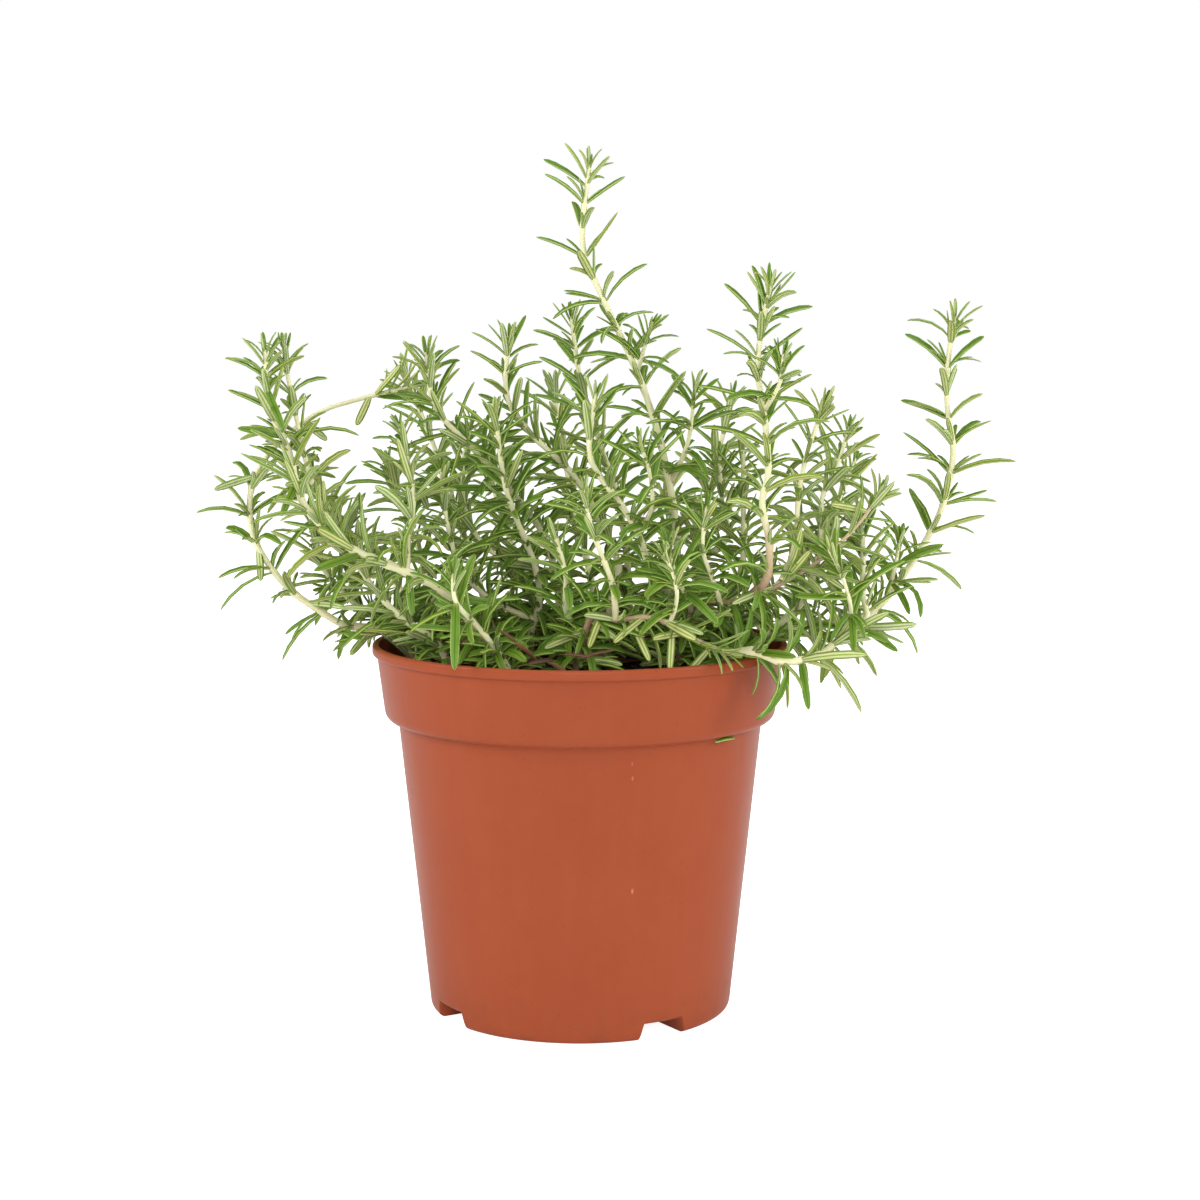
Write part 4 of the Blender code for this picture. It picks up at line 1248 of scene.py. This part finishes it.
# name, foot radius, tip radius, bare length, points up the stem; all in mm
SHOOTS = (
    ("leader", 1.9, 0.8, 42, ((30, 10, 96), (29, 10, 116), (31, 10, 145), (27, 7, 173),
        (19, 3, 199), (8, 0, 223), (1, 0, 241), (3, 2, 266))),
    ("left_bough", 2.2, 0.8, 34, ((-17, -14, 97), (-24, -20, 112), (-34, -27, 128),
        (-42, -30, 137), (-52, -30, 142), (-71, -27, 150), (-84, -22, 162), (-89, -18, 178),
        (-95, -16, 192), (-96, -16, 209))),
    ("arching_branch", 1.7, 0.7, 34, ((-46, 5, 97), (-57, 3, 116), (-66, 1, 121), (-74, 0, 122),
        (-82, -3, 127), (-93, -5, 136), (-102, -6, 151), (-102, -6, 167), (-94, -2, 180),
        (-82, 4, 189), (-70, 8, 193), (-54, 10, 197))),
    ("low_left_a", 1.8, 0.8, 22, ((-36, -16, 97), (-43, -18, 117), (-56, -15, 127),
        (-65, -10, 136), (-72, -4, 146), (-77, 4, 157))),
    ("low_left_b", 1.7, 0.8, 24, ((-40, 16, 97), (-62, 14, 122), (-71, 10, 127), (-78, 8, 134),
        (-83, 8, 142), (-85, 10, 155))),
    ("mid_left", 1.7, 0.8, 24, ((-14, 10, 97), (-16, 8, 116), (-13, 4, 128), (-14, 0, 140),
        (-19, -4, 154), (-23, -8, 166), (-25, -10, 180), (-26, -10, 190))),
    ("centre_left", 1.8, 0.8, 30, ((-4, 24, 97), (-7, 22, 127), (-11, 18, 147), (-22, 10, 164),
        (-34, 2, 178), (-45, -2, 191), (-48, -2, 208))),
    ("centre_tan", 1.9, 0.8, 30, ((6, 2, 97), (10, -2, 130), (12, 2, 141), (6, 6, 155),
        (-2, 6, 169), (-16, 4, 183), (-23, 2, 195), (-22, 0, 213))),
    ("centre_back", 1.8, 0.8, 28, ((14, 30, 97), (16, 32, 126), (13, 30, 156), (6, 26, 179),
        (0, 22, 199), (-3, 18, 219))),
    ("centre_front", 1.8, 0.8, 26, ((26, -12, 97), (29, -16, 129), (22, -20, 141),
        (18, -22, 153), (12, -22, 163), (6, -22, 171), (3, -22, 179), (5, -20, 196))),
    ("woody_front", 2.3, 1.0, 20, ((-4, -33, 97), (3, -40, 128), (12, -43, 129), (21, -44, 130),
        (29, -45, 127), (36, -47, 123), (45, -50, 120))),
    ("woody_right", 2.2, 0.9, 26, ((27, -26, 97), (34, -30, 129), (48, -34, 134), (61, -34, 139),
        (73, -30, 146), (84, -24, 155), (93, -18, 166))),
    ("right_bough", 2.0, 0.8, 26, ((39, -22, 97), (44, -36, 115), (51, -44, 120), (61, -46, 117),
        (72, -38, 118), (81, -28, 123), (88, -22, 127), (87, -20, 135), (87, -20, 148),
        (86, -15, 160))),
    ("far_right", 1.8, 0.8, 30, ((49, 4, 97), (58, 4, 115), (67, 3, 121), (80, 0, 123),
        (92, -4, 127), (102, -4, 139), (113, -2, 158), (117, 0, 176), (115, 0, 191),
        (115, 0, 205), (117, 0, 219))),
    ("leader_spur", 1.0, 0.6, 5, ((18, 3, 202), (20, -2, 209), (22, -5, 216))),
    ("leader_spur_low", 1.1, 0.6, 5, ((29, 8, 167), (34, 2, 180), (36, -4, 198))),
    ("left_tip_a", 1.2, 0.7, 5, ((-72, -27, 150), (-77, -20, 158), (-83, -12, 169),
        (-87, -8, 184), (-90, -6, 198), (-92, -6, 210))),
    ("left_low_spur", 1.0, 0.6, 5, ((-52, -30, 142), (-52, -25, 151), (-51, -16, 163),
        (-53, -10, 174), (-56, -8, 186))),
    ("left_mid", 1.2, 0.7, 5, ((-15, 6, 123), (-28, 0, 130), (-37, -6, 140), (-40, -10, 150),
        (-42, -10, 161), (-43, -10, 172))),
    ("front_rosette", 1.3, 0.7, 5, ((11, -43, 129), (10, -46, 140), (6, -48, 151), (3, -48, 160),
        (2, -48, 169))),
    ("front_spur_a", 0.9, 0.6, 5, ((27, -45, 128), (29, -48, 136), (28, -50, 143),
        (25, -50, 150))),
    ("front_spur_b", 1.0, 0.6, 5, ((34, -30, 130), (32, -38, 136), (29, -44, 142),
        (26, -46, 153))),
    ("front_spur_c", 1.1, 0.6, 5, ((43, -33, 132), (40, -38, 141), (37, -40, 150),
        (38, -40, 163))),
    ("right_centre", 1.5, 0.8, 5, ((51, -34, 135), (56, -40, 141), (57, -38, 151),
        (55, -34, 163), (57, -30, 173), (56, -28, 188), (54, -26, 202), (55, -24, 215),
        (58, -24, 229))),
    ("right_centre_spur", 0.9, 0.6, 5, ((56, -28, 191), (60, -32, 199), (61, -34, 208))),
    ("right_mid", 1.2, 0.7, 5, ((61, -34, 140), (64, -30, 146), (66, -26, 153), (67, -20, 163),
        (70, -14, 177), (76, -10, 193))),
    ("right_upper", 1.1, 0.7, 5, ((73, -30, 146), (74, -22, 154), (75, -14, 164), (80, -8, 173),
        (84, -4, 185))),
    ("far_right_spur", 1.0, 0.6, 5, ((97, -4, 133), (98, -11, 142), (99, -15, 151))),
    ("right_low_spur", 1.0, 0.6, 5, ((80, -24, 121), (82, -34, 130), (79, -40, 141),
        (74, -42, 151))),
    ("behind_right", 1.2, 0.7, 5, ((31, 10, 134), (40, 20, 141), (48, 24, 148), (46, 26, 160),
        (45, 26, 174))),
    ("back_left", 1.1, 0.7, 5, ((-8, 21, 136), (-26, 30, 140), (-37, 36, 152), (-39, 38, 169),
        (-36, 38, 185))),
    ("back_a", 1.8, 0.8, 22, ((-24, 32, 97), (-34, 44, 130), (-46, 58, 165), (-60, 66, 200))),
    ("back_b", 1.8, 0.8, 22, ((4, 46, 97), (4, 58, 125), (-4, 72, 160), (-10, 82, 196))),
    ("back_c", 1.8, 0.8, 22, ((30, 38, 97), (38, 52, 128), (44, 66, 160), (52, 76, 192))),
    ("back_d", 1.7, 0.8, 22, ((42, 20, 97), (52, 28, 118), (64, 36, 130), (80, 44, 146),
        (92, 50, 172))),
    ("back_e", 1.7, 0.8, 22, ((-38, 26, 97), (-49, 34, 118), (-62, 44, 130), (-78, 54, 144),
        (-92, 58, 168))),
    ("back_f", 1.7, 0.8, 22, ((-10, 40, 97), (-16, 52, 124), (-28, 72, 152), (-34, 92, 176))),
    ("back_g", 1.7, 0.8, 22, ((20, 46, 97), (24, 57, 124), (30, 78, 148), (30, 98, 166))),
    ("upper_left", 1.7, 0.8, 24, ((-28, 22, 97), (-46, 24, 123), (-51, 28, 138), (-58, 30, 156),
        (-64, 30, 172))),
    ("mid_right", 1.7, 0.8, 24, ((38, 12, 97), (47, 14, 122), (52, 12, 141), (52, 12, 161),
        (52, 12, 177))),
    ("low_right", 1.6, 0.8, 24, ((47, -6, 97), (56, -8, 117), (69, -10, 130), (74, -6, 142),
        (79, -2, 154))),
    ("low_front_left", 1.4, 0.8, 16, ((-14, -32, 97), (-20, -38, 112), (-29, -44, 126),
        (-36, -50, 135), (-37, -52, 144))),
    ("low_front_centre", 1.4, 0.8, 16, ((6, -18, 97), (1, -22, 117), (-4, -28, 130),
        (-4, -34, 141), (-7, -36, 154))),
    ("centre_spur", 1.0, 0.6, 5, ((18, -22, 153), (22, -28, 162), (21, -32, 173),
        (18, -34, 182))),
)

BARE_SHARE = 0.45         # share of the table's bare length that stays without leaves
SOIL_TOP = 109.0          # mm
# stretches of a shoot that stay bare, as shares of its length
SPARSE = {"arching_branch": (0.66, 0.93)}
# share of the usual distance between leaf pairs, where they stand closer
CROWDED = {"low_left_a": 0.72, "low_left_b": 0.72, "mid_left": 0.76, "left_mid": 0.80,
           "left_low_spur": 0.80, "left_bough": 0.88, "upper_left": 0.85}
# share of the table's radii where it is not the usual one
SLIM = {"woody_front": 0.62, "woody_right": 0.48, "left_bough": 0.92}
FULL_SIDE_STEMS = ("right_centre",)     # side stems that grow like the rooted ones
SIDE_BARE = 5                           # mm, the bare length of every side stem
HABITS = {"leader": Habit.OPEN, "far_right": Habit.OPEN, "arching_branch": Habit.OPEN,
          "woody_front": Habit.WOODY, "woody_right": Habit.WOODY}


def habit_of(name: str, bare: float) -> Habit:
    """A shoot's habit: its own if it has one, else that of its kind."""
    side = bare == SIDE_BARE and name not in FULL_SIDE_STEMS
    return HABITS.get(name, Habit.SPUR if side else Habit.BUSHY)


GOLDEN_SHARE = 0.618
HANGING_FAN = math.radians(105.0)
# (count, where the upper side looks) of the leaves that hang at the front of a bough
HANGING = {"woody_front": (14, Side.AWAY), "woody_right": (7, Side.AWAY),
           "right_bough": (7, Side.TOWARD), "left_bough": (8, Side.TOWARD),
           "arching_branch": (6, Side.AWAY)}
# (shoot, bearing in degrees, radius and height of the tip in mm, bow in degrees, where the
# upper side looks) of the two leaves that hang down outside the pot
OUTSIDE = (("low_front_left", -30, 72, 117, 12, Side.TOWARD),
           ("right_bough", 47, 72, 100, 44, Side.OUT))
# (name, centre in mm, bearing in degrees, length in mm) of each loose leaf
LOOSE = (("dead_leaf_a", (-27, -1, 110.2), 62, 14), ("dead_leaf_b", (18, 17, 110.3), -20, 12),
         ("dead_leaf_c", (14, -36, 109.9), 12, 13), ("caught_leaf", (44.0, -39.6, 92.2), 48, 9))


@dataclass
class Plant:
    """All the shoots, and the leaves that have dropped."""

    shoots: list[Shoot]

    @staticmethod
    def grown() -> "Plant":
        """The plant from the shoot table."""
        return Plant([Shoot(*row, habit_of(row[0], row[3]), seed)
                      for seed, row in enumerate(SHOOTS)])

    def build(self, bark: bpy.types.Material, leaf: bpy.types.Material,
              dead: bpy.types.Material) -> None:
        """Make every shoot, the loose leaves and the litter.

        Args:
            bark: The stems' finish.
            leaf: The leaves' finish.
            dead: The dried leaves' finish.
        """
        total = sum(shoot.build(bark, leaf) for shoot in self.shoots)
        LOG.info("%d shoots with %d leaves", len(self.shoots), total)
        for name, centre, bearing, length in LOOSE:
            caught = name == "caught_leaf"
            place_piece(name.replace("dead", "dry") + "_piece",
                        self._lying([centre], [bearing], [length], 5).surface(),
                        leaf if caught else dead, (name,))
        place_piece("soil_litter", self._litter().surface(), dead)

    @staticmethod
    def _lying(centres: list, bearings: list, lengths: list, seed: int) -> Leaves:
        """Leaves that lie flat, a little curled, round the given centres in mm."""
        rng, count = np.random.default_rng(seed), len(centres)
        turn = np.radians(np.array(bearings, dtype=float))
        flat = np.stack([np.cos(turn), np.sin(turn), np.zeros(count)], -1)
        length = np.array(lengths, dtype=float) * MM
        return Leaves(np.array(centres, dtype=float) * MM - flat * length[:, None] / 2,
                      np.tile([0.0, 0.0, 1.0], (count, 1)), flat, length,
                      np.full(count, 1.9 * MM), np.full(count, math.pi / 2 - 0.16),
                      np.full(count, 0.30), np.zeros(count), rng.normal(0.0, 0.5, count),
                      rng.uniform(0.6, 1.0, count), rng.uniform(0.0, 1.0, count))

    @staticmethod
    def _litter() -> Leaves:
        """Dropped leaves scattered over the soil, and those caught above it."""
        rng, count = np.random.default_rng(77), 110
        radius, turn = 56.0 * np.sqrt(rng.uniform(0, 1, count)), rng.uniform(0, 6.283, count)
        height = np.interp(radius, [0, 30, 55, 61.5], [109.2, 108.6, 107.2, 106.6]) + 0.9
        centres = np.stack([radius * np.cos(turn), radius * np.sin(turn),
                            height + rng.uniform(0, 0.9, count)], -1)
        lying = Plant._lying(list(centres), list(rng.uniform(0, 360, count)),
                             list(rng.uniform(6, 15, count)), 78)
        spine = lying.spines()[0]
        inside = (np.hypot(spine[..., 0], spine[..., 1]) < SOIL_EDGE).all(axis=1)
        caught = Plant._caught(8)
        return Leaves.joined([lying.chosen(inside), caught])

    @staticmethod
    def _caught(count: int) -> Leaves:
        """Withered leaves caught among the low leaves at the front, tilted at random."""
        rng, turn = np.random.default_rng(79), np.radians(np.linspace(-36.0, 6.0, count))
        centres = np.stack([53.0 * np.sin(turn), -53.0 * np.cos(turn),
                            rng.uniform(117.0, 123.0, count)], -1)
        caught = Plant._lying(list(centres), list(rng.uniform(0, 360, count)),
                              list(rng.uniform(6, 11, count)), 80)
        caught.lean = caught.lean + rng.normal(0.0, 0.35, count)
        return caught


# stage -------------------------------------------------------------------------------
# (name, place, side, power) of the square lamps, all aimed at the middle of the plant
LAMPS = (("key", (-1.42, -0.46, 0.95), 0.9, 19.5), ("fill", (1.45, -0.42, 0.85), 0.9, 16.5),
         ("front", (0.1, -1.50, 0.60), 0.9, 11.5), ("top", (0.1, 0.25, 1.45), 1.0, 5.0))
LAMP_AIM = Vector((0.0, 0.0, 0.13))
CAMERA_PLACE = (0.0063, -0.749, 0.2183)
CAMERA_DIP = 6.72           # degrees below level
FOCAL_LENGTH = 71.61        # mm, on a sensor 36 mm wide


def build_stage() -> None:
    """A plain pale floor, soft studio lights and the camera."""
    side = 6.0
    floor = bpy.data.meshes.new("floor")
    corner = np.array([(-side, -side, 0), (side, -side, 0), (side, side, 0), (-side, side, 0)])
    floor.from_pydata(corner.tolist(), [], [(0, 1, 2, 3)])
    stage = bpy.data.objects.new("floor", floor)
    bpy.context.scene.collection.objects.link(stage)
    made, w, shader = new_material("floor_paper")
    where = w.add("TexCoord").outputs["Object"]
    seen = w.add("LightPath").outputs["Is Camera Ray"]
    w.give(shader, {"Base Color": w.mix(w.noise(where, 3.0), (0.90, 0.90, 0.90),
                                          (0.93, 0.93, 0.93)), "Roughness": 0.9,
                      "Specular IOR Level": 0.1, "Emission Color": (1.0, 1.0, 1.0, 1.0),
                      "Emission Strength": w.between(seen, 0.0, 1.0, 0.14, 0.90)})
    floor.materials.append(made)
    for name, place, size, power in LAMPS:
        light = bpy.data.lights.new(name, "AREA")
        light.shape, light.size, light.energy = "SQUARE", size, power
        lamp = bpy.data.objects.new(name, light)
        lamp.location = place
        aim = LAMP_AIM - Vector(place)
        lamp.rotation_euler = aim.to_track_quat("-Z", "Y").to_euler()
        bpy.context.scene.collection.objects.link(lamp)
    world = bpy.data.worlds.new("studio")
    world.use_nodes = True
    sky = Wiring(world.node_tree)
    path = sky.add("LightPath").outputs
    dim = sky.between(path["Is Glossy Ray"], 0.0, 1.0, 0.22, 0.07)
    glow = sky.sums("MAXIMUM", dim, path["Is Camera Ray"])
    backdrop = sky.add("Background", {"Color": (1.0, 1.0, 1.0), "Strength": glow})
    sky.add("OutputWorld", {"Surface": backdrop.outputs[0]})
    bpy.context.scene.world = world
    bpy.context.scene.view_settings.view_transform = "Standard"
    lens = bpy.data.cameras.new("camera")
    lens.lens, lens.sensor_width, lens.clip_start = FOCAL_LENGTH, 36.0, 0.01
    camera = bpy.data.objects.new("camera", lens)
    camera.location = CAMERA_PLACE
    camera.rotation_euler = (math.radians(90.0 - CAMERA_DIP), 0.0, 0.0)
    bpy.context.scene.collection.objects.link(camera)
    bpy.context.scene.camera = camera


def main() -> None:
    """Build the pot, the soil, the plant and the stage, in that order."""
    logging.basicConfig(level=logging.INFO, format="%(name)s: %(message)s")
    effects, channels = Effects(), Channels()
    Pot(channels).build(Plastic().material(effects))
    soil = Soil()
    SoilBed(channels).build(soil.material("soil", effects),
                            soil.material("soil_lumps", effects, chips=True))
    leaf = Leaf()
    Plant.grown().build(Bark().material(effects), leaf.material("leaf_green", effects),
                        leaf.material("leaf_dead", effects, dead=1.0))
    build_stage()


if __name__ == "__main__":
    main()
